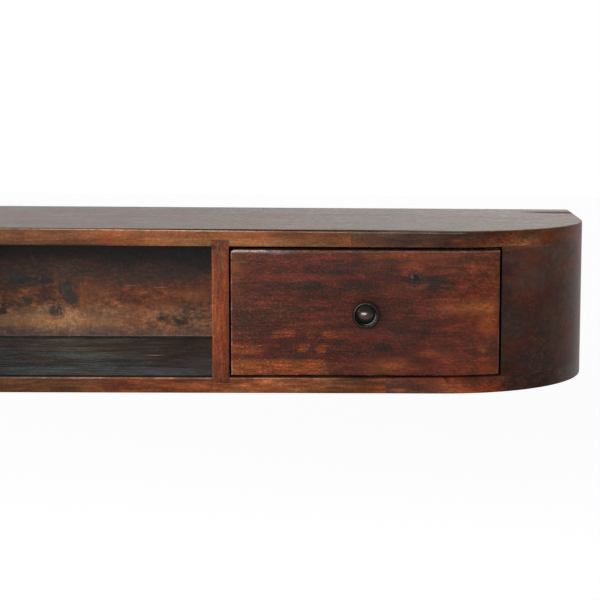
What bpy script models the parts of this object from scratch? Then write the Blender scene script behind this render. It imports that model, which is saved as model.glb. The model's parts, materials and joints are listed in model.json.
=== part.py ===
"""Wall-mounted console with rounded ends, an open middle and a drawer on each side.

Metres, +Z up. X runs along the console, +Y into the wall and -Y into the room.
The origin lies in the middle of the back, on the plane of the wall.
"""

import math

import bmesh
import bpy
from mathutils import Matrix

# The whole console
CONSOLE_WIDTH = 1.100
CONSOLE_DEPTH = 0.280
CONSOLE_HEIGHT = 0.160
END_RADIUS = 0.150
BOARD = 0.016
BACK_THICKNESS = 0.016
COMPARTMENT_WIDTH = 0.350
END_WIDTH = 0.093
EDGE_RADIUS = 0.0012
HOUSING_DEPTH = 0.0055

# Clearances: pieces that touch stand this far apart, and a cut runs this far past the wood
SEAT_GAP = 0.0003
OVERRUN = 0.004

# Rounded ends
END_WALL = 0.022
DOWEL_RADIUS = 0.004
DOWEL_IN_BOARD = 0.009
DOWEL_IN_WALL = 0.018
DOWEL_TURN_SHARE = 0.55
DOWEL_SIDE_SHARE = 0.45

# Drawer fronts: the photograph's reveals, and the wood left over the dovetails at the thin end
FRONT_SIDE_GAP = 0.002
FRONT_TOP_GAP = 0.0034
FRONT_BOTTOM_GAP = 0.002
FRONT_LAP = 0.0035
FRONT_EDGE_RADIUS = 0.002

# Drawer boxes
DRAWER_SIDE = 0.012
DRAWER_BACK = 0.012
DRAWER_PANEL = 0.005
PANEL_RISE = 0.010
GROOVE_DEPTH = 0.005
TAIL_WIDTH = 0.020
TAIL_LENGTH = 0.010
TAIL_SLOPE_SHARE = 1 / 6
TAIL_COUNT = 4
PANEL_SCREW_SHARES = (0.25, 0.75)

# Drawer stops
STOP_WIDTH = 0.020
STOP_DEPTH = 0.010
STOP_HEIGHT = 0.022

# Turned knobs, with their screws and washers
KNOB_RIM_RADIUS = 0.0132
KNOB_CREST_RADIUS = 0.0122
KNOB_NECK_RADIUS = 0.0062
KNOB_FOOT_RADIUS = 0.0080
KNOB_DISH_RADIUS = 0.0096
KNOB_DOME_RADIUS = 0.0078
KNOB_HEIGHT = 0.0155
KNOB_RIM_HEIGHT = 0.0128
KNOB_DISH_HEIGHT = 0.0118
KNOB_DOME_HEIGHT = 0.0150
KNOB_FOOT_HEIGHT = 0.0018
KNOB_BORE_DEPTH = 0.0085
KNOB_SCREW_RADIUS = 0.002
KNOB_SCREW_GRIP = 0.0075
PAN_HEAD_RADIUS = 0.004
PAN_HEAD_HEIGHT = 0.0026
WASHER_RADIUS = 0.006
WASHER_THICKNESS = 0.001

# Small wood screws
WOOD_SCREW_RADIUS = 0.0017
WOOD_SCREW_HEAD_RADIUS = 0.0036
WOOD_SCREW_HEAD_HEIGHT = 0.0022
WOOD_SCREW_POINT = 0.0030
HANGER_SCREW_LENGTH = 0.012
PANEL_SCREW_LENGTH = 0.016

# Keyhole hanger plates, let into the back
HANGER_SPACING = 0.700
HANGER_RISE = 0.026
PLATE_WIDTH = 0.026
PLATE_HEIGHT = 0.062
PLATE_THICKNESS = 0.0025
PLATE_CORNER = 0.005
KEYHOLE_RADIUS = 0.0058
KEYHOLE_SLOT_WIDTH = 0.0056
KEYHOLE_SLOT_LENGTH = 0.014
KEYHOLE_DROP = 0.005
POCKET_DEPTH = 0.0075
POCKET_MARGIN = 0.0015
HANGER_SCREW_INSET = 0.0075

# Facets
CORNER_STEPS = 24
FRONT_STEPS = 8
EDGE_STEPS = 2
FRONT_EDGE_STEPS = 3
ROUND_STEPS = 24
KNOB_STEPS = 40
SCREW_STEPS = 16
KNOB_BEAD_STEPS = 6
KNOB_DOME_STEPS = 6
KNOB_FLANK_STEPS = 6
SLOT_STEPS = 12
PLATE_CORNER_STEPS = 4
SMOOTH_ANGLE = math.radians(35)
SAME_PLACE = 1e-5
FLAT_ANGLE = 1e-4

# Places that follow from the sizes
HALF_WIDTH = CONSOLE_WIDTH / 2
FRONT_Y = -CONSOLE_DEPTH
BACK_FRONT_Y = -BACK_THICKNESS
TOP_Z = CONSOLE_HEIGHT / 2
INNER_Z = TOP_Z - BOARD
CORNER_X = HALF_WIDTH - END_RADIUS
CORNER_Y = FRONT_Y + END_RADIUS
DIVIDER_INNER_X = COMPARTMENT_WIDTH / 2
BAY_INNER_X = DIVIDER_INNER_X + BOARD
BAY_OUTER_X = HALF_WIDTH - END_WIDTH
HOUSED_Z = INNER_Z + HOUSING_DEPTH


def face_turn(x):
    """How far the face has turned, in radians, at a distance from the console's middle."""
    past_corner = (x - CORNER_X) / END_RADIUS
    return math.asin(min(max(past_corner, 0.0), 1.0))


def face_y(x):
    return CORNER_Y - END_RADIUS * math.cos(face_turn(x))


INNER_RADIUS = END_RADIUS - END_WALL
POST_TURN = math.acos((BAY_OUTER_X + BOARD + SEAT_GAP - CORNER_X) / INNER_RADIUS)
POST_REAR_Y = CORNER_Y - INNER_RADIUS * math.sin(POST_TURN)
FRONT_INNER_X = BAY_INNER_X + FRONT_SIDE_GAP
FRONT_OUTER_X = BAY_OUTER_X - FRONT_SIDE_GAP
FRONT_BOTTOM_Z = -INNER_Z + FRONT_BOTTOM_GAP
FRONT_TOP_Z = INNER_Z - FRONT_TOP_GAP
FRONT_TAIL_Y = face_y(FRONT_OUTER_X) + FRONT_LAP
FRONT_BACK_Y = FRONT_TAIL_Y + TAIL_LENGTH
SIDE_BOTTOM_Z = -INNER_Z + SEAT_GAP
PANEL_BOTTOM_Z = SIDE_BOTTOM_Z + PANEL_RISE
PANEL_TOP_Z = PANEL_BOTTOM_Z + DRAWER_PANEL
GROOVE_BOTTOM_Z = PANEL_BOTTOM_Z - SEAT_GAP
GROOVE_TOP_Z = PANEL_TOP_Z + SEAT_GAP
DRAWER_BACK_BOTTOM_Z = PANEL_TOP_Z + SEAT_GAP
STOP_REAR_Y = BACK_FRONT_Y - SEAT_GAP
STOP_FRONT_Y = STOP_REAR_Y - STOP_DEPTH
DRAWER_REAR_Y = STOP_FRONT_Y - SEAT_GAP
DRAWER_BACK_FRONT_Y = DRAWER_REAR_Y - DRAWER_BACK
DRAWER_MIDDLE_X = (FRONT_INNER_X + FRONT_OUTER_X) / 2
KNOB_Z = (FRONT_BOTTOM_Z + FRONT_TOP_Z) / 2

# Ways that a piece's own Z axis can point
UP = (0.0, 0.0, 0.0)
INTO_ROOM = (math.pi / 2, 0.0, 0.0)
INTO_WALL = (-math.pi / 2, 0.0, 0.0)
ALONG = (math.pi / 2, 0.0, math.pi / 2)

# Colours of the finish, roughness and metallic value
STAINED_WOOD = ((0.150, 0.050, 0.022, 1.0), 0.38, 0.0)
DARK_WOOD = ((0.060, 0.024, 0.014, 1.0), 0.35, 0.0)
WARM_WOOD = ((0.260, 0.095, 0.038, 1.0), 0.40, 0.0)
BARE_WOOD = ((0.360, 0.200, 0.095, 1.0), 0.60, 0.0)
OLD_BRASS = ((0.120, 0.090, 0.055, 1.0), 0.30, 1.0)
BRIGHT_STEEL = ((0.550, 0.550, 0.560, 1.0), 0.32, 1.0)


def clear_scene():
    for thing in list(bpy.data.objects):
        bpy.data.objects.remove(thing, do_unlink=True)


def new_collection(name):
    collection = bpy.data.collections.new(name)
    bpy.context.scene.collection.children.link(collection)
    return collection


def new_material(name, finish):
    colour, roughness, metallic = finish
    material = bpy.data.materials.new(name)
    material.use_nodes = True
    shader = material.node_tree.nodes["Principled BSDF"]
    shader.inputs["Base Color"].default_value = colour
    shader.inputs["Roughness"].default_value = roughness
    shader.inputs["Metallic"].default_value = metallic
    material.diffuse_color = colour
    return material


clear_scene()
PARTS = new_collection("wall_console")
CUTTERS = new_collection("cutters")


def place(name, mesh, location=(0.0, 0.0, 0.0), rotation=UP, finish=None):
    """Adds a mesh as a piece, or as a cutter where it has no finish."""
    thing = bpy.data.objects.new(name, mesh)
    thing.location = location
    thing.rotation_euler = rotation
    if finish is None:
        CUTTERS.objects.link(thing)
        thing.hide_render = True
        thing.display_type = "WIRE"
    else:
        PARTS.objects.link(thing)
        mesh.materials.clear()
        mesh.materials.append(new_material(name, finish))
    return thing


def mesh_from(name, shape):
    """Turns a bmesh into a mesh with its round faces smooth."""
    mesh = bpy.data.meshes.new(name)
    bmesh.ops.recalc_face_normals(shape, faces=shape.faces)
    shape.to_mesh(mesh)
    shape.free()
    mesh.shade_smooth()
    mesh.set_sharp_from_angle(angle=SMOOTH_ANGLE)
    return mesh


def box(name, low, high, finish=None):
    """A block between two corners, with its origin in its middle."""
    size = [abs(far - near) for near, far in zip(low, high)]
    middle = [(far + near) / 2 for near, far in zip(low, high)]
    shape = bmesh.new()
    bmesh.ops.create_cube(shape, size=1.0, matrix=Matrix.Diagonal((*size, 1.0)))
    return place(name, mesh_from(name, shape), middle, finish=finish)


def rod(name, radius, low, high, rotation=UP, steps=ROUND_STEPS, finish=None):
    """A cylinder between the middles of its two ends."""
    length = math.dist(low, high)
    middle = [(near + far) / 2 for near, far in zip(low, high)]
    shape = bmesh.new()
    bmesh.ops.create_cone(
        shape, cap_ends=True, segments=steps, radius1=radius, radius2=radius, depth=length
    )
    return place(name, mesh_from(name, shape), middle, rotation, finish)


def evaluated_mesh(name, thing):
    """The mesh that a curve or a modifier makes, welded, with its flat faces whole."""
    bpy.context.view_layer.update()
    graph = bpy.context.evaluated_depsgraph_get()
    raw = bpy.data.meshes.new_from_object(thing.evaluated_get(graph))
    shape = bmesh.new()
    shape.from_mesh(raw)
    bpy.data.meshes.remove(raw)
    bmesh.ops.remove_doubles(shape, verts=shape.verts, dist=SAME_PLACE)
    bmesh.ops.dissolve_limit(
        shape, angle_limit=FLAT_ANGLE, verts=shape.verts, edges=shape.edges
    )
    return mesh_from(name, shape)


def slab(name, loops, thickness, location, rotation=UP, finish=None):
    """A flat outline with its holes, as thick as asked, about the location."""
    curve = bpy.data.curves.new(name, "CURVE")
    curve.dimensions = "2D"
    curve.fill_mode = "BOTH"
    curve.extrude = thickness / 2
    for loop in loops:
        spline = curve.splines.new("POLY")
        spline.points.add(len(loop) - 1)
        for point, (across, along) in zip(spline.points, loop):
            point.co = (across, along, 0.0, 1.0)
        spline.use_cyclic_u = True
    guide = bpy.data.objects.new(name + "_outline", curve)
    PARTS.objects.link(guide)
    mesh = evaluated_mesh(name, guide)
    bpy.data.objects.remove(guide, do_unlink=True)
    return place(name, mesh, location, rotation, finish)


def turned(name, profile, steps, location, rotation=UP, finish=None):
    """A shape turned round its own Z axis. The profile runs from its top down the outer side."""
    mesh = bpy.data.meshes.new(name + "_profile")
    points = [(radius, 0.0, height) for radius, height in profile]
    mesh.from_pydata(points, [(at, at + 1) for at in range(len(points) - 1)], [])
    guide = bpy.data.objects.new(name + "_profile", mesh)
    PARTS.objects.link(guide)
    screw = guide.modifiers.new("Turn", "SCREW")
    screw.axis = "Z"
    screw.steps = steps
    screw.render_steps = steps
    screw.use_merge_vertices = True
    screw.merge_threshold = SAME_PLACE
    made = evaluated_mesh(name, guide)
    bpy.data.objects.remove(guide, do_unlink=True)
    return place(name, made, location, rotation, finish)


def cut(piece, *cutters):
    for cutter in cutters:
        step = piece.modifiers.new(cutter.name, "BOOLEAN")
        step.operation = "DIFFERENCE"
        step.solver = "EXACT"
        step.object = cutter


def round_edges(piece, radius, segments, wanted):
    """Rounds the sharp edges of a piece's mesh whose two ends the test accepts together."""
    shape = bmesh.new()
    shape.from_mesh(piece.data)
    edges = [
        edge
        for edge in shape.edges
        if edge.calc_face_angle(0.0) > SMOOTH_ANGLE and wanted(*[v.co for v in edge.verts])
    ]
    bmesh.ops.bevel(
        shape,
        geom=edges,
        offset=radius,
        offset_type="OFFSET",
        segments=segments,
        profile=0.5,
        affect="EDGES",
    )
    shape.to_mesh(piece.data)
    shape.free()
    piece.data.shade_smooth()
    piece.data.set_sharp_from_angle(angle=SMOOTH_ANGLE)


def arc(centre, radius, start, end, steps):
    """Points along an arc between two angles."""
    across, along = centre
    angles = [start + (end - start) * step / steps for step in range(steps + 1)]
    return [(across + radius * math.cos(a), along + radius * math.sin(a)) for a in angles]


def face_points(start_x, end_x, steps):
    """Points along the console's face on its right half, the corner's turn in equal steps."""
    start = face_turn(start_x) - math.pi / 2
    end = face_turn(end_x) - math.pi / 2
    curve = arc((CORNER_X, CORNER_Y), END_RADIUS, start, end, steps)
    return [(start_x, FRONT_Y), *curve] if start_x < CORNER_X else curve


def mirrored(points, side):
    return [(side * across, along) for across, along in points]


# Rounded ends
def dowel_places(side):
    """Where the dowels stand in the end's wall: on its turn and on its straight part."""
    middle_radius = END_RADIUS - END_WALL / 2
    angle = -math.pi / 2 * (1 - DOWEL_TURN_SHARE)
    turn = arc((CORNER_X, CORNER_Y), middle_radius, angle, angle, 1)[0]
    straight = (HALF_WIDTH - END_WALL / 2, CORNER_Y * DOWEL_SIDE_SHARE)
    return {"corner": mirrored([turn], side)[0], "rear": mirrored([straight], side)[0]}


def add_dowels(side, word):
    """Four dowels at one end, and the holes they need, by board."""
    holes = {"top": [], "bottom": []}
    for where, (x, y) in dowel_places(side).items():
        for board, up in (("top", 1), ("bottom", -1)):
            name = f"end_dowel_{word}_{board}_{where}"
            near = INNER_Z - DOWEL_IN_WALL
            far = INNER_Z + DOWEL_IN_BOARD
            rod(name, DOWEL_RADIUS, (x, y, up * near), (x, y, up * far), finish=BARE_WOOD)
            hole = rod(
                name + "_hole",
                DOWEL_RADIUS + SEAT_GAP,
                (x, y, up * (near - SEAT_GAP)),
                (x, y, up * (far + SEAT_GAP)),
            )
            holes[board].append(hole)
    return holes


def add_end_wall(side, word, holes):
    """The end's curved wall, with a flat seat inside its front for the bay's side."""
    outline = [
        *face_points(BAY_OUTER_X, HALF_WIDTH, CORNER_STEPS),
        (HALF_WIDTH, 0.0),
        (HALF_WIDTH - END_WALL, 0.0),
        *arc((CORNER_X, CORNER_Y), INNER_RADIUS, 0.0, -POST_TURN, CORNER_STEPS),
        (BAY_OUTER_X, POST_REAR_Y),
    ]
    height = 2 * (INNER_Z - SEAT_GAP)
    wall = slab(
        f"end_wall_{word}", [mirrored(outline, side)], height, (0.0, 0.0, 0.0), finish=DARK_WOOD
    )
    cut(wall, *holes["top"], *holes["bottom"])


# Upright boards between the top and the bottom
def add_upright(name, side, near_x, front_y, front_clear, finish):
    """A board let into housings in the top and the bottom, and the cutters for those."""
    far_x = near_x + BOARD
    rear_y = BACK_FRONT_Y - SEAT_GAP
    tall = HOUSED_Z - SEAT_GAP
    box(name, (side * near_x, front_y, -tall), (side * far_x, rear_y, tall), finish)
    near_x -= SEAT_GAP
    far_x += SEAT_GAP
    housings = {}
    for board, up in (("top", 1), ("bottom", -1)):
        housings[board] = box(
            f"{name}_{board}_housing",
            (side * near_x, front_y - front_clear, up * (INNER_Z - OVERRUN)),
            (side * far_x, BACK_FRONT_Y, up * HOUSED_Z),
        )
    return housings


# Top and bottom
def add_board(name, up, cutters):
    """A board with both its front corners rounded, cut for what stands between the boards."""
    right = face_points(0.0, HALF_WIDTH, CORNER_STEPS)[1:]
    outline = [(HALF_WIDTH, 0.0), (-HALF_WIDTH, 0.0), *mirrored(reversed(right), -1), *right]
    middle_z = up * (INNER_Z + BOARD / 2)
    board = slab(name, [outline], BOARD, (0.0, 0.0, middle_z), finish=STAINED_WOOD)

    def on_outer_arris(*ends):
        outside = all(abs(end.z - up * BOARD / 2) < SAME_PLACE for end in ends)
        at_wall = all(abs(end.y) < SAME_PLACE for end in ends)
        return outside and not at_wall

    round_edges(board, EDGE_RADIUS, EDGE_STEPS, on_outer_arris)
    cut(board, *cutters)


# Hanger plates
def hanger_heights():
    """Heights of the keyhole's round end and of its slot's top, from the plate's middle."""
    round_end = -KEYHOLE_DROP
    return round_end, round_end + KEYHOLE_SLOT_LENGTH


def keyhole_outline(margin):
    """A round hole with a slot above it, widened all round by a margin."""
    round_end, slot_top = hanger_heights()
    radius = KEYHOLE_RADIUS + margin
    half_slot = KEYHOLE_SLOT_WIDTH / 2 + margin
    meet = math.acos(half_slot / radius)
    below = arc((0.0, round_end), radius, math.pi - meet, math.tau + meet, ROUND_STEPS)
    above = arc((0.0, slot_top - half_slot + margin), half_slot, 0.0, math.pi, SLOT_STEPS)
    return below + above


def plate_outline(margin):
    """A rectangle with rounded corners, widened all round by a margin."""
    across = PLATE_WIDTH / 2 - PLATE_CORNER
    along = PLATE_HEIGHT / 2 - PLATE_CORNER
    quarter = math.pi / 2
    corners = [(across, along), (-across, along), (-across, -along), (across, -along)]
    points = []
    for index, corner in enumerate(corners):
        start = index * quarter
        points += arc(corner, PLATE_CORNER + margin, start, start + quarter, PLATE_CORNER_STEPS)
    return points


def flat_screw_profile(length, margin):
    """A countersunk screw under its head's face, and a little larger for its hole."""
    head = WOOD_SCREW_HEAD_RADIUS + margin
    shank = WOOD_SCREW_RADIUS + margin
    cone = -WOOD_SCREW_HEAD_HEIGHT - margin
    point = -length - margin
    return [
        (0.0, 0.0),
        (head, 0.0),
        (shank, cone),
        (shank, point + WOOD_SCREW_POINT),
        (0.0, point),
    ]


def add_hanger(side, word, back):
    """A plate flush with the back's rear face, its two screws, and the pocket behind it."""
    x = side * HANGER_SPACING / 2
    middle_y = -PLATE_THICKNESS / 2
    plate = slab(
        f"hanger_plate_{word}",
        [plate_outline(0.0), keyhole_outline(0.0)],
        PLATE_THICKNESS,
        (x, middle_y, HANGER_RISE),
        INTO_ROOM,
        BRIGHT_STEEL,
    )
    recess_depth = PLATE_THICKNESS + SEAT_GAP + OVERRUN
    recess = slab(
        f"hanger_recess_{word}",
        [plate_outline(SEAT_GAP)],
        recess_depth,
        (x, OVERRUN - recess_depth / 2, HANGER_RISE),
        INTO_ROOM,
    )
    pocket = slab(
        f"hanger_pocket_{word}",
        [keyhole_outline(POCKET_MARGIN)],
        POCKET_DEPTH + PLATE_THICKNESS,
        (x, -(POCKET_DEPTH + PLATE_THICKNESS) / 2 - SEAT_GAP, HANGER_RISE),
        INTO_ROOM,
    )
    cut(back, recess, pocket)
    for level, up in (("upper", 1), ("lower", -1)):
        z = HANGER_RISE + up * (PLATE_HEIGHT / 2 - HANGER_SCREW_INSET)
        seat = (x, -SEAT_GAP, z)
        name = f"hanger_screw_{word}_{level}"
        profile = flat_screw_profile(HANGER_SCREW_LENGTH, 0.0)
        turned(name, profile, SCREW_STEPS, seat, INTO_WALL, BRIGHT_STEEL)
        wider = flat_screw_profile(HANGER_SCREW_LENGTH, SEAT_GAP)
        head = wider[1][0]
        profile = [(0.0, OVERRUN), (head, OVERRUN), *wider[1:]]
        hole = turned(name + "_hole", profile, SCREW_STEPS, seat, INTO_WALL)
        cut(plate, hole)
        cut(back, hole)


def add_back():
    across = HALF_WIDTH - END_WALL - SEAT_GAP
    tall = INNER_Z - SEAT_GAP
    return box(
        "back_panel", (-across, BACK_FRONT_Y, -tall), (across, 0.0, tall), finish=WARM_WOOD
    )


# Drawers
def tail_row(base_y, end_y, tip_y, low_z, high_z, margin):
    """Corners of a row of dovetails from bottom to top, widened by a margin on each flank."""
    pitch = (high_z - low_z) / TAIL_COUNT
    base_half = TAIL_WIDTH / 2 - abs(base_y - tip_y) * TAIL_SLOPE_SHARE + margin
    end_half = TAIL_WIDTH / 2 + abs(end_y - tip_y) * TAIL_SLOPE_SHARE + margin
    corners = []
    for index in range(TAIL_COUNT):
        middle = low_z + (index + 0.5) * pitch
        corners += [
            (base_y, middle - base_half),
            (end_y, middle - end_half),
            (end_y, middle + end_half),
            (base_y, middle + base_half),
        ]
    return corners


def side_outline():
    """The side of a drawer box, seen along the console, with its dovetails at both ends."""
    front_shoulder = FRONT_BACK_Y + SEAT_GAP
    rear_shoulder = DRAWER_BACK_FRONT_Y - SEAT_GAP
    front = tail_row(
        front_shoulder, FRONT_TAIL_Y, FRONT_TAIL_Y, FRONT_BOTTOM_Z, FRONT_TOP_Z, 0.0
    )
    rear = tail_row(
        rear_shoulder, DRAWER_REAR_Y, DRAWER_REAR_Y, DRAWER_BACK_BOTTOM_Z, FRONT_TOP_Z, 0.0
    )
    return [
        (front_shoulder, SIDE_BOTTOM_Z),
        (DRAWER_REAR_Y, SIDE_BOTTOM_Z),
        (DRAWER_REAR_Y, PANEL_TOP_Z),
        (rear_shoulder, PANEL_TOP_Z),
        *rear,
        (rear_shoulder, FRONT_TOP_Z),
        (front_shoulder, FRONT_TOP_Z),
        *reversed(front),
    ]


def socket_cutter(name, base_y, end_y, tip_y, low_z, near_x, far_x):
    """Cuts the sockets that a row of dovetails needs. Its own back lies past the board's face."""
    step_back = math.copysign(OVERRUN, base_y - end_y)
    row = tail_row(base_y + step_back, end_y, tip_y, low_z, FRONT_TOP_Z, SEAT_GAP)
    behind = base_y + 2 * step_back
    outline = [(behind, low_z), *row, (behind, FRONT_TOP_Z)]
    middle = ((near_x + far_x) / 2, 0.0, 0.0)
    return slab(name, [outline], abs(far_x - near_x), middle, ALONG)


def pan_screw_profile(length, radius):
    """A pan-headed screw: its shank above, its head below, its origin under the head."""
    return [
        (0.0, length),
        (radius, length),
        (radius, 0.0),
        (PAN_HEAD_RADIUS, 0.0),
        (PAN_HEAD_RADIUS, -PAN_HEAD_HEIGHT / 2),
        (PAN_HEAD_RADIUS / 2, -PAN_HEAD_HEIGHT),
        (0.0, -PAN_HEAD_HEIGHT),
    ]


def knob_profile():
    """The knob from the middle of its dome out over the dish and rim, and down to its foot."""
    dome = [
        (
            KNOB_DOME_RADIUS * math.sin(turn),
            KNOB_DISH_HEIGHT + (KNOB_DOME_HEIGHT - KNOB_DISH_HEIGHT) * math.cos(turn),
        )
        for turn in [math.pi / 2 * step / KNOB_DOME_STEPS for step in range(KNOB_DOME_STEPS + 1)]
    ]
    bead_radius = KNOB_RIM_RADIUS - KNOB_CREST_RADIUS
    bead_height = KNOB_HEIGHT - bead_radius
    bead = arc((KNOB_CREST_RADIUS, bead_height), bead_radius, math.pi, 0.0, KNOB_BEAD_STEPS)
    flank = []
    for step in range(KNOB_FLANK_STEPS + 1):
        turn = math.pi / 2 * step / KNOB_FLANK_STEPS
        flank.append(
            (
                KNOB_NECK_RADIUS + (KNOB_RIM_RADIUS - KNOB_NECK_RADIUS) * (1 - math.sin(turn)),
                KNOB_FOOT_HEIGHT + (KNOB_RIM_HEIGHT - KNOB_FOOT_HEIGHT) * math.cos(turn),
            )
        )
    bore = KNOB_SCREW_RADIUS + SEAT_GAP
    return [
        *dome,
        (KNOB_DISH_RADIUS, KNOB_DISH_HEIGHT),
        *bead,
        *flank,
        (KNOB_FOOT_RADIUS, KNOB_FOOT_HEIGHT),
        (KNOB_FOOT_RADIUS, 0.0),
        (bore, 0.0),
        (bore, KNOB_BORE_DEPTH),
        (0.0, KNOB_BORE_DEPTH),
    ]


def add_drawer_front(side, word):
    """The front follows the console's face, and the sides' tails lap into its back."""
    outline = [
        *face_points(FRONT_INNER_X, FRONT_OUTER_X, FRONT_STEPS),
        (FRONT_OUTER_X, FRONT_BACK_Y),
        (FRONT_INNER_X, FRONT_BACK_Y),
    ]
    height = FRONT_TOP_Z - FRONT_BOTTOM_Z
    middle = (0.0, 0.0, (FRONT_TOP_Z + FRONT_BOTTOM_Z) / 2)
    name = f"drawer_front_{word}"
    front = slab(name, [mirrored(outline, side)], height, middle, finish=STAINED_WOOD)

    def on_face(*ends):
        return all(abs(end.y - face_y(abs(end.x))) < SAME_PLACE for end in ends)

    round_edges(front, FRONT_EDGE_RADIUS, FRONT_EDGE_STEPS, on_face)
    groove = box(
        name + "_groove",
        (side * (FRONT_INNER_X + DRAWER_SIDE), FRONT_BACK_Y - GROOVE_DEPTH, GROOVE_BOTTOM_Z),
        (side * (FRONT_OUTER_X - DRAWER_SIDE), FRONT_BACK_Y + OVERRUN, GROOVE_TOP_Z),
    )
    screw_hole = rod(
        name + "_screw_hole",
        KNOB_SCREW_RADIUS + SEAT_GAP,
        (side * DRAWER_MIDDLE_X, FRONT_Y - OVERRUN, KNOB_Z),
        (side * DRAWER_MIDDLE_X, FRONT_BACK_Y + OVERRUN, KNOB_Z),
        INTO_ROOM,
        SCREW_STEPS,
    )
    cut(front, groove, screw_hole)
    return front


def add_drawer_sides(side, word, front, back):
    """Both sides of a drawer box, their grooves, and their sockets in the front and the back."""
    pieces = []
    for where, outer_x, inward in (("inner", FRONT_INNER_X, 1), ("outer", FRONT_OUTER_X, -1)):
        name = f"drawer_side_{word}_{where}"
        inner_x = outer_x + inward * DRAWER_SIDE
        middle = (side * (outer_x + inner_x) / 2, 0.0, 0.0)
        piece = slab(name, [side_outline()], DRAWER_SIDE, middle, ALONG, BARE_WOOD)
        groove = box(
            name + "_groove",
            (side * (inner_x - inward * GROOVE_DEPTH), FRONT_TAIL_Y - OVERRUN, GROOVE_BOTTOM_Z),
            (side * (inner_x + inward * OVERRUN), DRAWER_REAR_Y + OVERRUN, GROOVE_TOP_Z),
        )
        cut(piece, groove)
        near_x = side * (outer_x - inward * OVERRUN)
        far_x = side * (inner_x + inward * SEAT_GAP)
        cut(
            front,
            socket_cutter(
                name + "_front_sockets",
                FRONT_BACK_Y,
                FRONT_TAIL_Y - SEAT_GAP,
                FRONT_TAIL_Y,
                FRONT_BOTTOM_Z,
                near_x,
                far_x,
            ),
        )
        cut(
            back,
            socket_cutter(
                name + "_back_sockets",
                DRAWER_BACK_FRONT_Y,
                DRAWER_REAR_Y + OVERRUN,
                DRAWER_REAR_Y,
                DRAWER_BACK_BOTTOM_Z,
                near_x,
                far_x,
            ),
        )
        pieces.append(piece)
    return pieces


def add_drawer_bottom(side, word, back):
    """The panel in its grooves, and the two screws that hold it up to the back."""
    edge = DRAWER_SIDE - GROOVE_DEPTH + SEAT_GAP
    near_x = FRONT_INNER_X + edge
    far_x = FRONT_OUTER_X - edge
    panel = box(
        f"drawer_bottom_{word}",
        (side * near_x, FRONT_BACK_Y - GROOVE_DEPTH + SEAT_GAP, PANEL_BOTTOM_Z),
        (side * far_x, DRAWER_REAR_Y, PANEL_TOP_Z),
        finish=BARE_WOOD,
    )
    pieces = [panel]
    y = (DRAWER_BACK_FRONT_Y + DRAWER_REAR_Y) / 2
    seat = PANEL_BOTTOM_Z - SEAT_GAP
    for where, share in zip(("inner", "outer"), PANEL_SCREW_SHARES):
        x = side * (near_x + (far_x - near_x) * share)
        name = f"drawer_bottom_screw_{word}_{where}"
        profile = pan_screw_profile(PANEL_SCREW_LENGTH, WOOD_SCREW_RADIUS)
        pieces.append(turned(name, profile, SCREW_STEPS, (x, y, seat), UP, BRIGHT_STEEL))
        hole = rod(
            name + "_hole",
            WOOD_SCREW_RADIUS + SEAT_GAP,
            (x, y, seat - OVERRUN),
            (x, y, seat + PANEL_SCREW_LENGTH + SEAT_GAP),
            steps=SCREW_STEPS,
        )
        cut(panel, hole)
        cut(back, hole)
    return pieces


def add_knob(side, word):
    """The knob on the front, and the screw and washer that hold it from inside."""
    x = side * DRAWER_MIDDLE_X
    knob = turned(
        f"knob_{word}",
        knob_profile(),
        KNOB_STEPS,
        (x, FRONT_Y - SEAT_GAP, KNOB_Z),
        INTO_ROOM,
        OLD_BRASS,
    )
    washer_y = FRONT_BACK_Y + SEAT_GAP
    screw_y = washer_y + WASHER_THICKNESS + SEAT_GAP
    hole = KNOB_SCREW_RADIUS + SEAT_GAP
    ring = [
        (WASHER_RADIUS, 0.0),
        (WASHER_RADIUS, -WASHER_THICKNESS),
        (hole, -WASHER_THICKNESS),
        (hole, 0.0),
        (WASHER_RADIUS, 0.0),
    ]
    washer = turned(
        f"knob_washer_{word}", ring, ROUND_STEPS, (x, washer_y, KNOB_Z), INTO_ROOM, BRIGHT_STEEL
    )
    length = screw_y - FRONT_Y + KNOB_SCREW_GRIP
    profile = pan_screw_profile(length, KNOB_SCREW_RADIUS)
    screw = turned(
        f"knob_screw_{word}", profile, SCREW_STEPS, (x, screw_y, KNOB_Z), INTO_ROOM, BRIGHT_STEEL
    )
    return [knob, washer, screw]


def add_drawer(side, word):
    """A dovetailed drawer, all its pieces on an empty that lies on the line it slides along."""
    back = box(
        f"drawer_back_{word}",
        (side * FRONT_INNER_X, DRAWER_BACK_FRONT_Y, DRAWER_BACK_BOTTOM_Z),
        (side * FRONT_OUTER_X, DRAWER_REAR_Y, FRONT_TOP_Z),
        BARE_WOOD,
    )
    front = add_drawer_front(side, word)
    pieces = [front, back]
    pieces += add_drawer_sides(side, word, front, back)
    pieces += add_drawer_bottom(side, word, back)
    pieces += add_knob(side, word)
    slide = bpy.data.objects.new(f"drawer_slide_{word}", None)
    slide.location = (side * DRAWER_MIDDLE_X, FRONT_Y, KNOB_Z)
    PARTS.objects.link(slide)
    bpy.context.view_layer.update()
    for piece in pieces:
        piece.parent = slide
        piece.matrix_parent_inverse = slide.matrix_world.inverted()


def add_stops(side, word):
    """Blocks in the bay's rear corners that the closed drawer's sides come up against."""
    near = BAY_INNER_X + SEAT_GAP
    far = BAY_OUTER_X - SEAT_GAP
    bottom = -INNER_Z + SEAT_GAP
    for where, start, end in (("inner", near, near + STOP_WIDTH), ("outer", far, far - STOP_WIDTH)):
        box(
            f"drawer_stop_{word}_{where}",
            (side * start, STOP_FRONT_Y, bottom),
            (side * end, STOP_REAR_Y, bottom + STOP_HEIGHT),
            BARE_WOOD,
        )


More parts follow.
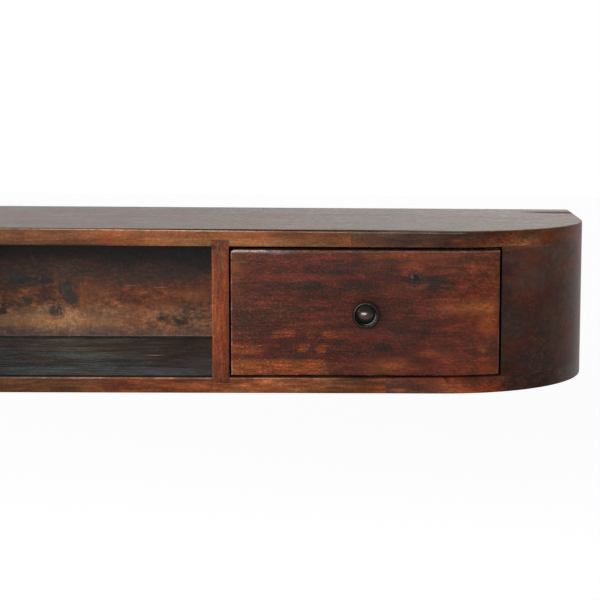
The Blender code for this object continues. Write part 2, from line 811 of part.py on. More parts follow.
# Assembly
back_panel = add_back()
board_cutters = {"top": [], "bottom": []}
for direction, name_word in ((-1, "left"), (1, "right")):
    divider = f"divider_{name_word}"
    bay_side = f"bay_side_{name_word}"
    bay_side_front_y = POST_REAR_Y + SEAT_GAP
    cutter_sets = [
        add_upright(divider, direction, DIVIDER_INNER_X, FRONT_Y, OVERRUN, WARM_WOOD),
        add_upright(bay_side, direction, BAY_OUTER_X, bay_side_front_y, SEAT_GAP, BARE_WOOD),
    ]
    dowel_holes = add_dowels(direction, name_word)
    add_end_wall(direction, name_word, dowel_holes)
    for level_word, cutters in board_cutters.items():
        cutters += [housings[level_word] for housings in cutter_sets]
        cutters += dowel_holes[level_word]
    add_hanger(direction, name_word, back_panel)
    add_stops(direction, name_word)
    add_drawer(direction, name_word)
add_board("top_board", 1, board_cutters["top"])
add_board("bottom_board", -1, board_cutters["bottom"])
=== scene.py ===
import json
import math

import bmesh
import bpy
from mathutils import Matrix, Vector, noise

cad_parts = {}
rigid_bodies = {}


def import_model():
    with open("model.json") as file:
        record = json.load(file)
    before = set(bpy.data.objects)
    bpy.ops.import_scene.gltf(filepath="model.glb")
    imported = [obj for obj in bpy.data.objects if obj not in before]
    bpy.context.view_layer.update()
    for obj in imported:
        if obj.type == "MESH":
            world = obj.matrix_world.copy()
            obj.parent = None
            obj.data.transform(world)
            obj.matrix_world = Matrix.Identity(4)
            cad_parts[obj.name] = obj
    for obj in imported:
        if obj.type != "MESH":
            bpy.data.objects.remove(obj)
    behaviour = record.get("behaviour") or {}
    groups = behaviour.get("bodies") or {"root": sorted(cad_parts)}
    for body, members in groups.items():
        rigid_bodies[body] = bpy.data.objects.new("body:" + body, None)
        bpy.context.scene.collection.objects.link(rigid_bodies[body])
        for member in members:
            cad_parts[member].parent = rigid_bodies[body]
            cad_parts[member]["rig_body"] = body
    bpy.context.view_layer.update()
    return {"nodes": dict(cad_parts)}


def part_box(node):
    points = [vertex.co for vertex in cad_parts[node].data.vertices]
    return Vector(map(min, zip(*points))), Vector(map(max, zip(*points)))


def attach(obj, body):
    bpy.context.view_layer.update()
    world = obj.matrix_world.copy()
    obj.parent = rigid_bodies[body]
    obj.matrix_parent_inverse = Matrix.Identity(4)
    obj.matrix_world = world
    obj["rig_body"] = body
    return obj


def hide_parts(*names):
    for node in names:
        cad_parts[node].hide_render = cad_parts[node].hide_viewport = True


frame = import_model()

# In metres: points closer than TINY are one, and SEAM closes up the glued seams
TINY = 1e-5
SEAM = 0.0002

# Sizes of the console, in metres, from the frame
TOP_LOW, TOP_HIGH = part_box("top_board")
FRONT_LOW, FRONT_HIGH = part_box("drawer_front_right")
OTHER_LOW, OTHER_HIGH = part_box("drawer_front_left")
KNOB_LOW, KNOB_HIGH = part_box("knob_right")
FRONT_Y = TOP_LOW.y
BACK_FACE_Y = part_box("back_panel")[0].y
TOP_VERTICES = frame["nodes"]["top_board"].data.vertices
CORNER_X = max(vertex.co.x for vertex in TOP_VERTICES if vertex.co.y < FRONT_Y + TINY)
END_RADIUS = TOP_HIGH.x - CORNER_X
CORNER_Y = FRONT_Y + END_RADIUS
BAY_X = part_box("divider_right")[0].x
SHELF_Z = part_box("bottom_board")[1].z
CEILING_Z = TOP_LOW.z
KNOB_RADIUS = (KNOB_HIGH.x - KNOB_LOW.x) / 2
KNOB_HEIGHT = KNOB_HIGH.y - KNOB_LOW.y
BACK_FACE = ((-BAY_X, SHELF_Z), (BAY_X, CEILING_Z))

# Camera: where the photograph was taken from, and how it was cropped
IMAGE_PX = 600
PRINCIPAL_U_PX = 430
PRINCIPAL_V_PX = 299.85
FOCAL_PX = 1772.46
CAMERA_PLACE = Vector((0.33054, -1.98912, 0.23433))
CAMERA_YAW = 0.0325853
CAMERA_PITCH = 0.128822
CAMERA_ROLL = 0.00896

# Joints between the staves that the top and the bottom are glued up from
TOP_JOINT_X = 0.3092
TOP_LEFT_JOINT_X = -0.214
REAR_STRIP_Y = -0.055
MIDDLE_STRIP_Y = -0.165
BOTTOM_JOINT_X = 0.3438
BOTTOM_LEFT_JOINT_X = -0.262
BOTTOM_STRIP_Y = -0.150

# Single tones, as the light that they give back
INK = (0.004, 0.003, 0.003)
# A dark tone: smut on knots and seams, and painted shade in the dark lines along the top board's front
SMUT_AND_PAINTED_SHADE = (0.020, 0.011, 0.007)
PLUM = (0.046, 0.013, 0.010)
UMBER = (0.030, 0.008, 0.004)
RUSSET = (0.135, 0.027, 0.005)
# Pale tones of the arrises: partly wear and partly painted highlights
WORN_AND_HIGHLIGHT = (0.680, 0.480, 0.420)
RUBBED_TOP_AND_HIGHLIGHT = (0.58, 0.42, 0.33)
RUBBED_SHELF_AND_HIGHLIGHT = (0.42, 0.25, 0.17)
RUBBED_DIVIDER_AND_HIGHLIGHT = (0.42, 0.20, 0.12)
RUBBED_FRONT_AND_HIGHLIGHT = (0.52, 0.49, 0.50)
RUBBED_BACK = (0.30, 0.17, 0.12)
TOP_HAZE = (0.34, 0.22, 0.165)
TOP_STRIP = (0.05, 0.06, 0.05)
TOP_RIM = (0.05, 0.03, 0.02)
SHELF_PLUM = (0.075, 0.042, 0.042)
# Painted reflection: the bluish sheen on the compartment's floor
SHELF_PAINTED_SHEEN = (0.20, 0.225, 0.26)
SHELF_SCRATCH = (0.8, 0.76, 0.74)
DIVIDER_DUST = (0.17, 0.066, 0.032)
BACK_GLOW = (0.40, 0.18, 0.065)
BACK_SLATE = (0.028, 0.028, 0.022)
BACK_SCRATCH = (0.34, 0.22, 0.15)
# The back's darker upper part: its own stain and a painted shadow of the top board
BACK_STAIN_AND_SHADOW = (0.036, 0.015, 0.011)
BACK_DUST = (0.115, 0.076, 0.062)
END_RED = (0.105, 0.028, 0.018)
END_PLUM = (0.034, 0.014, 0.016)
END_BAND = (0.042, 0.024, 0.018)
END_GLOW = (0.17, 0.062, 0.030)
FRONT_RED = (0.150, 0.030, 0.016)
FRONT_RIGHT = (0.16, 0.060, 0.028)
# Smut on the drawer fronts, and the painted shadow of the right knob
FRONT_SMUT_AND_SHADOW = (0.020, 0.0105, 0.006)
# Painted highlights on the drawer fronts: bluish-grey glints
FRONT_PAINTED_GLINT = (0.105, 0.085, 0.090)
FRONT_EDGE = (0.15, 0.07, 0.035)
# The knob's bronze: painted shade below and painted light above, a painted reflection, a painted highlight
# and a painted crescent of reflection
BRONZE_PAINTED_SHADE_BELOW, BRONZE_PAINTED_LIGHT_ABOVE = (0.009, 0.011, 0.009), (0.022, 0.020, 0.018)
BRONZE_PAINTED_REFLECTION = (0.052, 0.036, 0.028)
BRONZE_PAINTED_HIGHLIGHT = (0.085, 0.076, 0.073)
BRONZE_RIM = (0.058, 0.053, 0.051)
BRONZE_GROOVE = (0.005, 0.005, 0.004)
BRONZE_PAINTED_CRESCENT = (0.068, 0.071, 0.066)
BRONZE_FLANK = (0.016, 0.012, 0.010)
BACK_KNOT, BACK_RING = (0.026, 0.020, 0.016), (0.06, 0.026, 0.013)
FRONT_KNOT, FRONT_RING = (0.006, 0.005, 0.004), (0.15, 0.032, 0.018)

# Stains: the dark, middle and light tone, shown where the noises of the grain, added up, reach
# the STAIN_STEPS. The shares of these noises add up to STAIN_SPREAD.
STAIN_STEPS = (0.40, 0.50, 0.61)
STAIN_SPREAD = 1.1
TOP_STAIN = ((0.138, 0.044, 0.015), (0.178, 0.067, 0.022), (0.222, 0.098, 0.038))
TOP_RIGHT_STAIN = ((0.036, 0.0125, 0.0080), (0.062, 0.021, 0.0105), (0.125, 0.040, 0.016))
TOP_MIDDLE_STAIN = ((0.140, 0.036, 0.012), (0.188, 0.054, 0.017), (0.235, 0.078, 0.026))
TOP_GLOW_STAIN = ((0.05, 0.013, 0.007), (0.11, 0.030, 0.012), (0.19, 0.062, 0.024))
TOP_LEFT_STAIN = ((0.05, 0.014, 0.006), (0.10, 0.028, 0.009), (0.17, 0.05, 0.016))
TOP_END_STAIN = ((0.063, 0.0165, 0.004), (0.099, 0.0255, 0.006), (0.140, 0.038, 0.009))
TOP_FACE_STAIN = ((0.10, 0.045, 0.022), (0.17, 0.085, 0.045), (0.25, 0.13, 0.075))
BOTTOM_STAIN = ((0.058, 0.015, 0.006), (0.118, 0.033, 0.009), (0.20, 0.070, 0.022))
BOTTOM_MIDDLE_STAIN = ((0.05, 0.012, 0.005), (0.145, 0.040, 0.0105), (0.28, 0.100, 0.034))
BOTTOM_RIGHT_STAIN = ((0.055, 0.014, 0.008), (0.125, 0.030, 0.011), (0.21, 0.060, 0.020))
BOTTOM_DARK_STAIN = ((0.013, 0.006, 0.005), (0.022, 0.010, 0.008), (0.040, 0.016, 0.012))
BOTTOM_END_STAIN = ((0.034, 0.0115, 0.0050), (0.051, 0.0160, 0.0065), (0.074, 0.023, 0.0090))
DIVIDER_STAIN = ((0.120, 0.017, 0.005), (0.175, 0.029, 0.007), (0.24, 0.050, 0.013))
BACK_STAIN = ((0.052, 0.017, 0.009), (0.130, 0.040, 0.013), (0.25, 0.085, 0.025))
BACK_BAND_STAIN = ((0.09, 0.024, 0.008), (0.15, 0.040, 0.012), (0.23, 0.07, 0.021))
BACK_GOLD_STAIN = ((0.15, 0.061, 0.028), (0.26, 0.116, 0.057), (0.42, 0.205, 0.100))
BACK_REAR_STAIN = ((0.052, 0.017, 0.009), (0.100, 0.033, 0.013), (0.16, 0.060, 0.022))
END_STAIN = ((0.035, 0.0165, 0.012), (0.052, 0.0225, 0.015), (0.076, 0.032, 0.020))
FRONT_STAIN = ((0.040, 0.010, 0.007), (0.068, 0.013, 0.007), (0.118, 0.026, 0.011))
BOX_STAIN = ((0.20, 0.105, 0.050), (0.33, 0.195, 0.105), (0.44, 0.29, 0.17))

# Stops of the other ramps: place and tone
SHELF_STOPS = [(0.40, (0.045, 0.056, 0.055)), (0.5, (0.140, 0.170, 0.162)), (0.60, (0.26, 0.31, 0.30))]
GLOW_STOPS = [(0.35, (0.14, 0.032, 0.009)), (0.65, (0.24, 0.066, 0.018))]
FIGURE_STOPS = [(0.35, (0.13, 0.027, 0.009)), (0.65, (0.205, 0.049, 0.015))]
STEEL_STOPS = [(0.3, (0.33, 0.34, 0.35)), (0.7, (0.48, 0.48, 0.48))]

# Pairs of tints that the colour drifts between
TINGES = ((1.08, 0.88, 0.80), (0.92, 1.10, 1.20))
ROSES = ((0.90, 1.07, 0.97), (1.11, 0.93, 1.03))
SHELF_TINTS = ((1.04, 0.97, 1.0), (0.95, 1.04, 1.0))
BACK_TINTS = ((0.97, 1.04, 1.06), (1.03, 0.93, 0.88))

# Single tints, by which the colour is multiplied
BACK_WARMTH = (1.10, 0.94, 0.80)
END_WARMTH = (1.12, 0.86, 0.60)
END_COOLNESS = (0.90, 0.98, 1.02)
FRONT_LEFT_TINT = (1.0, 1.16, 1.0)
FRONT_MIDDLE_TINT = (0.76, 0.97, 0.98)
FRONT_TOP_TINT = (1.0, 1.02, 0.85)

# How the grain is drawn: repeats in a metre along it and across it
SWAY = (5.0, 12.0)
BAND = (4.0, 30.0)
CLOUD = (18.0, 34.0)
STREAK = (16.0, 150.0)
LINE = (60.0, 420.0)
FLECK = (400.0, 600.0)
MOTTLE = (75.0, 130.0)
FIBRE = (45.0, 950.0)
TINGE = (9.0, 45.0)
PORE = (190.0, 1700.0)

# How far the grain sways and how far a stave's grain is moved along, in metres
SWAY_DEPTH = 0.012
STAVE_SHIFT = 3.7

# A knot is a little longer than wide, and spreads the grain within this many of its radii
KNOT_LENGTH = 1.1
KNOT_REACH = 4.5
KNOT_SPREAD = 0.8

# The lacquer's gloss, and the depths of the wood's and the bronze's surface, in metres
LACQUER_IOR = 1.25
BUMP_DEPTH = 0.00010
KNOB_BUMP_DEPTH = 0.000008

# Marks: place along and up the face, half length, half height (shares of the face), and depth.
# Patches say how much lighter or darker instead of the depth. Knots: place along and up, and the
# radius in metres. The pale strip at the foot: how far it reaches along and up.

# The right drawer front
FRONT_SMUTS_AND_KNOB_SHADOW = (
    (0.269, 0.708, 0.065, 0.026, 0.9),
    (0.144, 0.732, 0.065, 0.012, 0.35),
    (0.461, 0.700, 0.052, 0.020, 0.8),
    (0.390, 0.820, 0.055, 0.022, 0.55),
    (0.450, 0.896, 0.060, 0.018, 0.4),
    (0.178, 0.900, 0.025, 0.012, 0.4),
    (0.234, 0.524, 0.075, 0.020, 0.6),
    (0.409, 0.252, 0.022, 0.030, 0.8),
    (0.461, 0.180, 0.050, 0.016, 0.75),
    (0.565, 0.236, 0.026, 0.024, 0.95),
    (0.612, 0.340, 0.014, 0.016, 0.6),
    (0.772, 0.340, 0.018, 0.012, 0.5),
    (0.700, 0.755, 0.034, 0.034, 0.8),
    (0.740, 0.738, 0.055, 0.032, 0.95),
    (0.657, 0.776, 0.010, 0.040, 0.6),
    # Painted shadow of the knob, to its right
    (0.573, 0.524, 0.020, 0.050, 0.5),
)
FRONT_PLUMS = (
    (0.100, 0.460, 0.100, 0.075, 0.40),
    (0.077, 0.428, 0.070, 0.150, 0.45),
    (0.178, 0.228, 0.050, 0.028, 0.6),
    (0.917, 0.716, 0.020, 0.018, 0.6),
    (0.620, 0.300, 0.100, 0.100, 0.45),
    (0.260, 0.335, 0.012, 0.050, 0.7),
    (0.301, 0.215, 0.010, 0.050, 0.8),
    (0.372, 0.205, 0.010, 0.045, 0.6),
    (0.234, 0.150, 0.120, 0.014, 0.7),
)
FRONT_GLOWS = (
    (0.174, 0.060, 0.180, 0.050, 1.0),
    (0.063, 0.204, 0.060, 0.040, 0.6),
    (0.926, 0.556, 0.115, 0.050, 1.15),
    (0.963, 0.412, 0.040, 0.090, 0.7),
    (0.587, 0.076, 0.110, 0.070, 0.75),
    (0.742, 0.180, 0.060, 0.030, 0.55),
    (0.628, 0.960, 0.130, 0.030, 0.5),
    (0.982, 0.028, 0.050, 0.050, 0.6),
    (0.940, 0.204, 0.020, 0.020, 0.5),
    (0.018, 0.764, 0.030, 0.200, 0.4),
)
FRONT_RIPPLES = (
    (0.198, 0.330, 0.046, 0.034, 0.9),
    (0.296, 0.328, 0.017, 0.042, 0.9),
    (0.394, 0.334, 0.058, 0.034, 0.9),
    (0.266, 0.220, 0.027, 0.040, 1.0),
    (0.336, 0.212, 0.024, 0.042, 1.0),
    (0.063, 0.212, 0.060, 0.038, 0.75),
)
FRONT_REDS = (
    (0.245, 0.776, 0.120, 0.028, 0.6),
    (0.669, 0.880, 0.045, 0.045, 0.8),
    (0.647, 0.690, 0.090, 0.036, 0.8),
    (0.720, 0.820, 0.060, 0.024, 0.6),
    (0.780, 0.835, 0.050, 0.016, 0.5),
    (0.590, 0.310, 0.060, 0.030, 0.5),
    (0.850, 0.560, 0.030, 0.060, 0.4),
    (0.800, 0.110, 0.050, 0.040, 0.5),
)
# Painted highlights: a bluish one under the top arris, and a glint beside the knot
FRONT_PAINTED_GLINTS = ((0.165, 0.984, 0.075, 0.013, 0.8), (0.668, 0.792, 0.0045, 0.014, 0.5))
FRONT_KNOTS = ((0.685, 0.790, 0.0040),)
FRONT_PATCHES = (
    (0.52, 0.88, 0.070, 0.12, 0.38),
    (0.75, 0.72, 0.070, 0.16, -0.48),
    (0.16, 0.37, 0.080, 0.14, -0.28),
    (0.385, 0.38, 0.070, 0.20, -0.20),
    (0.63, 0.55, 0.070, 0.14, -0.20),
    (0.06, 0.24, 0.070, 0.07, -0.18),
    (0.63, 0.14, 0.070, 0.14, 0.22),
    (0.950, 0.38, 0.060, 0.30, 0.36),
    (0.85, 0.33, 0.070, 0.16, 0.24),
    (0.955, 0.85, 0.060, 0.12, -0.16),
    (0.52, 0.36, 0.060, 0.10, 0.20),
    (0.74, 0.21, 0.060, 0.07, 0.20),
    (0.385, 0.21, 0.055, 0.07, -0.28),
    (0.74, 0.32, 0.060, 0.05, -0.22),
    (0.85, 0.60, 0.060, 0.06, -0.22),
    (0.74, 0.80, 0.060, 0.10, -0.15),
)
FRONT_MARKS = {
    "smuts_and_shadow": FRONT_SMUTS_AND_KNOB_SHADOW,
    "plums": FRONT_PLUMS,
    "glows": FRONT_GLOWS,
    "ripples": FRONT_RIPPLES,
    "reds": FRONT_REDS,
    "painted_glints": FRONT_PAINTED_GLINTS,
    "knots": FRONT_KNOTS,
    "patches": FRONT_PATCHES,
    "pale strip": (0.34, 0.115),
}

# The left drawer front
OTHER_SMUTS = (
    (0.22, 0.30, 0.075, 0.022, 0.8),
    (0.235, 0.385, 0.050, 0.040, 0.9),
    (0.41, 0.78, 0.060, 0.024, 0.7),
    (0.63, 0.22, 0.040, 0.030, 0.8),
    (0.74, 0.62, 0.080, 0.020, 0.6),
    (0.86, 0.40, 0.030, 0.024, 0.8),
    (0.12, 0.66, 0.050, 0.018, 0.5),
)
OTHER_PLUMS = ((0.30, 0.55, 0.120, 0.100, 0.5), (0.80, 0.82, 0.090, 0.070, 0.5))
OTHER_GLOWS = (
    (0.16, 0.90, 0.140, 0.055, 0.9),
    (0.55, 0.09, 0.200, 0.050, 0.8),
    (0.06, 0.40, 0.050, 0.110, 0.7),
    (0.90, 0.20, 0.080, 0.045, 0.7),
    (0.66, 0.44, 0.060, 0.035, 0.5),
)
OTHER_RIPPLES = (
    (0.60, 0.62, 0.030, 0.045, 0.8),
    (0.66, 0.60, 0.016, 0.045, 0.8),
    (0.54, 0.64, 0.020, 0.035, 0.6),
)
OTHER_REDS = ((0.45, 0.30, 0.100, 0.040, 0.6), (0.85, 0.60, 0.070, 0.040, 0.5))
# Painted highlight: a bluish glint under the top arris
OTHER_PAINTED_GLINTS = ((0.52, 0.965, 0.060, 0.012, 0.6),)
OTHER_KNOTS = ((0.232, 0.380, 0.0022),)
OTHER_PATCHES = (
    (0.25, 0.40, 0.12, 0.20, -0.25),
    (0.62, 0.78, 0.10, 0.15, 0.22),
    (0.85, 0.35, 0.10, 0.18, -0.2),
    (0.45, 0.15, 0.10, 0.12, 0.2),
)
OTHER_MARKS = {
    "smuts_and_shadow": OTHER_SMUTS,
    "plums": OTHER_PLUMS,
    "glows": OTHER_GLOWS,
    "ripples": OTHER_RIPPLES,
    "reds": OTHER_REDS,
    "painted_glints": OTHER_PAINTED_GLINTS,
    "knots": OTHER_KNOTS,
    "patches": OTHER_PATCHES,
    "pale strip": (0.20, 0.07),
}

# The back of the compartment. Its scratches: place along and up, half length, and depth.
BACK_SLATES = (
    (0.328, 0.499, 0.055, 0.060, 1.0),
    (0.467, 0.418, 0.025, 0.035, 0.9),
    (0.488, 0.327, 0.019, 0.053, 0.7),
    (0.344, 0.320, 0.021, 0.028, 0.7),
    (0.316, 0.267, 0.009, 0.013, 0.5),
    (0.436, 0.216, 0.021, 0.035, 0.65),
    (0.602, 0.640, 0.028, 0.044, 0.5),
    (0.776, 0.161, 0.016, 0.020, 0.8),
    (0.823, 0.127, 0.024, 0.028, 0.7),
    (0.853, 0.234, 0.011, 0.040, 0.5),
)
BACK_INKS = (
    (0.397, 0.487, 0.026, 0.034, 1.0),
    (0.390, 0.494, 0.013, 0.018, 1.0),
    (0.402, 0.478, 0.013, 0.016, 1.0),
    (0.264, 0.222, 0.018, 0.046, 0.85),
    (0.468, 0.449, 0.009, 0.011, 0.6),
    (0.455, 0.216, 0.004, 0.031, 0.35),
    (0.775, 0.160, 0.005, 0.011, 0.35),
)
BACK_PLUMS = (
    (0.508, 0.546, 0.032, 0.032, 0.6),
    (0.722, 0.533, 0.083, 0.048, 0.6),
    (0.396, 0.343, 0.033, 0.075, 0.55),
    (0.373, 0.469, 0.032, 0.026, 0.4),
    (0.576, 0.596, 0.095, 0.035, 0.4),
    (0.862, 0.601, 0.057, 0.053, 0.5),
)
BACK_REDS = (
    (0.842, 0.443, 0.013, 0.044, 0.6),
    (0.751, 0.371, 0.017, 0.023, 0.5),
    (0.639, 0.395, 0.032, 0.026, 0.3),
    (0.797, 0.319, 0.064, 0.035, 0.3),
)
BACK_GLOWS = (
    (0.431, 0.128, 0.159, 0.053, 0.8),
    (0.327, 0.152, 0.051, 0.044, 0.5),
    (0.733, 0.229, 0.095, 0.053, 0.35),
    (0.559, 0.315, 0.044, 0.088, 0.35),
    (0.322, 0.346, 0.032, 0.026, 0.5),
    (0.877, 0.355, 0.032, 0.044, 0.4),
)
BACK_SCRATCHES = ((0.671, 0.445, 0.026, 0.8), (0.771, 0.433, 0.030, 0.6), (0.614, 0.482, 0.030, 0.35))
BACK_KNOTS = ((0.397, 0.480, 0.0030), (0.467, 0.418, 0.0050), (0.436, 0.216, 0.0032), (0.776, 0.161, 0.0022))
BACK_PATCHES = (
    (0.29, 0.42, 0.065, 0.09, -0.60),
    (0.495, 0.33, 0.170, 0.09, -0.26),
    (0.575, 0.44, 0.140, 0.045, 0.20),
    (0.800, 0.53, 0.110, 0.07, -0.45),
    (0.545, 0.53, 0.045, 0.06, -0.25),
    (0.610, 0.53, 0.040, 0.06, 0.30),
    (0.610, 0.285, 0.050, 0.06, -0.20),
    (0.690, 0.41, 0.060, 0.05, 0.20),
    (0.370, 0.155, 0.050, 0.05, 0.15),
    (0.415, 0.18, 0.090, 0.06, 0.22),
    (0.697, 0.24, 0.050, 0.10, -0.30),
    (0.785, 0.29, 0.045, 0.06, 0.20),
    (0.865, 0.12, 0.070, 0.12, -0.28),
    (0.290, 0.08, 0.060, 0.08, 0.20),
    (0.780, 0.08, 0.050, 0.08, -0.18),
)

# The floor of the compartment
SHELF_PLUMS = (
    (0.481, 0.739, 0.153, 0.040, 0.6),
    (0.753, 0.779, 0.123, 0.054, 0.6),
    (0.865, 0.704, 0.083, 0.216, 0.7),
)
SHELF_SMUTS = (
    (0.614, 0.960, 0.500, 0.045, 0.9),
    (0.465, 0.409, 0.117, 0.036, 0.6),
    (0.707, 0.347, 0.116, 0.029, 0.6),
    (0.441, 0.582, 0.090, 0.025, 0.4),
    (0.560, 0.240, 0.300, 0.030, 0.35),
    (0.380, 0.500, 0.120, 0.025, 0.3),
)
# Painted reflection: where the floor shows a bluish sheen
SHELF_PAINTED_SHEENS = (
    (0.858, 0.111, 0.141, 0.072, 0.8),
    (0.931, 0.330, 0.055, 0.110, 0.65),
    (0.566, 0.089, 0.111, 0.044, 0.3),
)
SHELF_SCRATCHES = ((0.796, 0.496, 0.033, 0.012, 1.0),)
SHELF_PATCHES = (
    (0.40, 0.60, 0.18, 0.10, 0.38),
    (0.86, 0.85, 0.11, 0.14, -0.32),
    (0.72, 0.86, 0.08, 0.12, -0.18),
    (0.70, 0.10, 0.14, 0.08, 0.26),
    (0.72, 0.29, 0.08, 0.07, -0.16),
)

# The rounded ends
END_REDS = ((0.26, 0.74, 0.13, 0.20, 0.45), (0.18, 0.28, 0.13, 0.14, 0.30), (0.48, 0.50, 0.10, 0.08, 0.3))
END_PLUMS = (
    (0.04, 0.80, 0.06, 0.20, 0.5),
    (0.27, 0.10, 0.10, 0.16, 0.5),
    (0.06, 0.48, 0.06, 0.12, 0.5),
    (0.30, 0.40, 0.12, 0.20, 0.5),
    (0.55, 0.66, 0.14, 0.10, 0.4),
)
END_PATCHES = ((0.40, 0.68, 0.22, 0.14, 0.17), (0.50, 0.08, 0.16, 0.08, -0.2))

# Stretches of a board: place, reach and how much lighter or darker. Places and reaches are
# metres, but shares of the face on the drawer fronts.
TOP_EDGE_STRETCHES = (
    (-0.030, 0.045, 0.60),
    (0.085, 0.050, 0.36),
    (0.130, 0.040, 0.20),
    (0.215, 0.036, 0.56),
    (0.262, 0.022, -0.25),
    (0.292, 0.030, -0.34),
    (0.325, 0.022, -0.10),
    (0.350, 0.020, 0.25),
    (0.440, 0.045, 0.30),
    (0.480, 0.020, -0.15),
    (0.552, 0.034, 0.30),
)
BOTTOM_EDGE_STRETCHES = (
    (-0.030, 0.060, -0.20),
    (0.045, 0.050, -0.42),
    (0.100, 0.040, 0.55),
    (0.155, 0.040, 0.15),
    (0.226, 0.040, 0.62),
    (0.268, 0.020, 0.35),
    (0.310, 0.034, -0.35),
    (0.356, 0.028, 0.35),
    (0.408, 0.024, 0.90),
)
BACK_STRETCHES = ((-0.060, 0.030, -0.12), (-0.014, 0.026, 0.22), (0.060, 0.030, -0.06), (0.124, 0.030, -0.28))
SHELF_STRETCHES = ((-0.02, 0.13, 0.24), (0.17, 0.10, -0.28))
DIVIDER_STRETCHES = ((SHELF_Z, 0.045, -0.45), (CEILING_Z, 0.030, -0.22), (0.0, 0.05, 0.06))
END_STRETCHES_UP = ((CEILING_Z, 0.055, 0.5), (SHELF_Z, 0.03, -0.1))
END_STRETCHES_ALONG = ((0.455, 0.030, -0.12), (0.540, 0.055, 0.28))
FRONT_STRETCHES_ALONG = ((0.48, 0.45, -0.20), (0.65, 0.10, -0.10), (0.86, 0.18, 0.22))
FRONT_STRETCHES_UP = ((0.96, 0.28, 0.50), (0.68, 0.16, -0.28), (0.46, 0.14, -0.08))

# How the pieces are finished: arrises, sandings and depths in metres, and swells in a metre
BOARD_ARRIS = 0.0004
END_ARRIS = 0.0003
DIVIDER_ARRIS = 0.0002
CORNER_SANDING = 0.0040
ARC_STEPS = 8
ARRIS_STEPS = 40
ARRIS_REACH = 0.0030
SWELLS = 28
SWELL_DEPTH = 0.0001

# Angles in degrees. Faces that lie flatter to each other than FLAT_ANGLE, in radians, are one.
SHARP_ANGLE = 40
SMOOTH_ANGLE = 50
KNOB_SMOOTH_ANGLE = 60
FLAT_ANGLE = 0.002

# The knob's outline, in shares of its radius and of its height over the drawer front
DOME_RADIUS = 0.66
DOME_FOOT = 0.77
DOME_RISE = 0.19
DOME_FULLNESS = 1.35
DISH = ((0.74, 0.765), (0.79, 0.785))
RIM_RADIUS = 0.845
RIM_MIDDLE = 0.925
BEAD = 0.032
NECK_RADIUS = 0.47
NECK_HEIGHT = 0.12
FLANK_HEIGHT = 0.72
FOOT_AND_BORE = ((0.56, 0.12), (0.60, 0.10), (0.605, 0.0), (0.174, 0.0), (0.174, 0.548), (0.0, 0.548))
DOME_STEPS = 24
BEAD_STEPS = 16
FLANK_STEPS = 16
KNOB_STEPS = 96

# Floor, world and light
FLOOR_Z = -0.75
FLOOR_HALF = 12.0
FLOOR_TONE = (0.8, 0.8, 0.8)
FLOOR_GLOW = (0.72, 0.72, 0.72)
WORLD_LIGHT = 0.25
KEY_PLACE = Vector((-0.55, -2.6, 0.44))
KEY_TARGET = Vector((0.1, -0.2, 0.0))
KEY_WIDTH = 2.2
KEY_HEIGHT = 0.45
KEY_POWER = 49.0


def add_camera():
    data = bpy.data.cameras.new("camera")
    data.sensor_fit = "HORIZONTAL"
    data.lens = data.sensor_width * FOCAL_PX / IMAGE_PX
    data.shift_x = (IMAGE_PX / 2 - PRINCIPAL_U_PX) / IMAGE_PX
    data.shift_y = (PRINCIPAL_V_PX - IMAGE_PX / 2) / IMAGE_PX
    camera = bpy.data.objects.new("camera", data)
    turn = Matrix.Rotation(-CAMERA_YAW, 4, "Z")
    tilt = Matrix.Rotation(math.pi / 2 - CAMERA_PITCH, 4, "X")
    roll = Matrix.Rotation(CAMERA_ROLL, 4, "Z")
    camera.matrix_world = Matrix.Translation(CAMERA_PLACE) @ turn @ tilt @ roll
    bpy.context.collection.objects.link(camera)
    bpy.context.scene.camera = camera


class Tone:
    """A value in a material. Arithmetic on it adds the nodes that work it out."""

    def __init__(self, nodes, socket):
        self.nodes = nodes
        self.socket = socket

    def math(self, operation, *others, swapped=False):
        values = [self, *others]
        if swapped:
            values.reverse()
        return self.nodes.node("Math", {"operation": operation}, dict(enumerate(values)))

    def __add__(self, other):
        return self.math("ADD", other)

    def __radd__(self, other):
        return self.math("ADD", other)

    def __sub__(self, other):
        return self.math("SUBTRACT", other)

    def __rsub__(self, other):
        return self.math("SUBTRACT", other, swapped=True)

    def __mul__(self, other):
        return self.math("MULTIPLY", other)

    def __rmul__(self, other):
        return self.math("MULTIPLY", other)

    def __truediv__(self, other):
        return self.math("DIVIDE", other)

    def __rtruediv__(self, other):
        return self.math("DIVIDE", other, swapped=True)

    def __pow__(self, other):
        return self.math("POWER", other)

    def __abs__(self):
        return self.math("ABSOLUTE")

    def sine(self):
        return self.math("SINE")

    def exponent(self):
        return self.math("EXPONENT")

    def least(self, other):
        return self.math("MINIMUM", other)

    def most(self, other):
        return self.math("MAXIMUM", other)

    def past(self, place):
        """0 before the place and 1 after it."""
        return self.math("GREATER_THAN", place)

    def rise(self, low, high):
        """0 up to the low value, 1 from the high one on, and smooth between them."""
        settings = {"interpolation_type": "SMOOTHSTEP"}
        values = {"Value": self, "From Min": low, "From Max": high}
        return self.nodes.node("MapRange", settings, values)

    def fall(self, low, high):
        return 1 - self.rise(low, high)

    def between(self, start, full, fading, end):
        """1 from the full place to the fading one, and 0 before the start and after the end."""
        return self.rise(start, full) * self.fall(fading, end)

    def near(self, place, reach):
        """1 at the place, and down to 0 at the reach on both sides of it."""
        return abs(self - place).fall(0.0, reach)


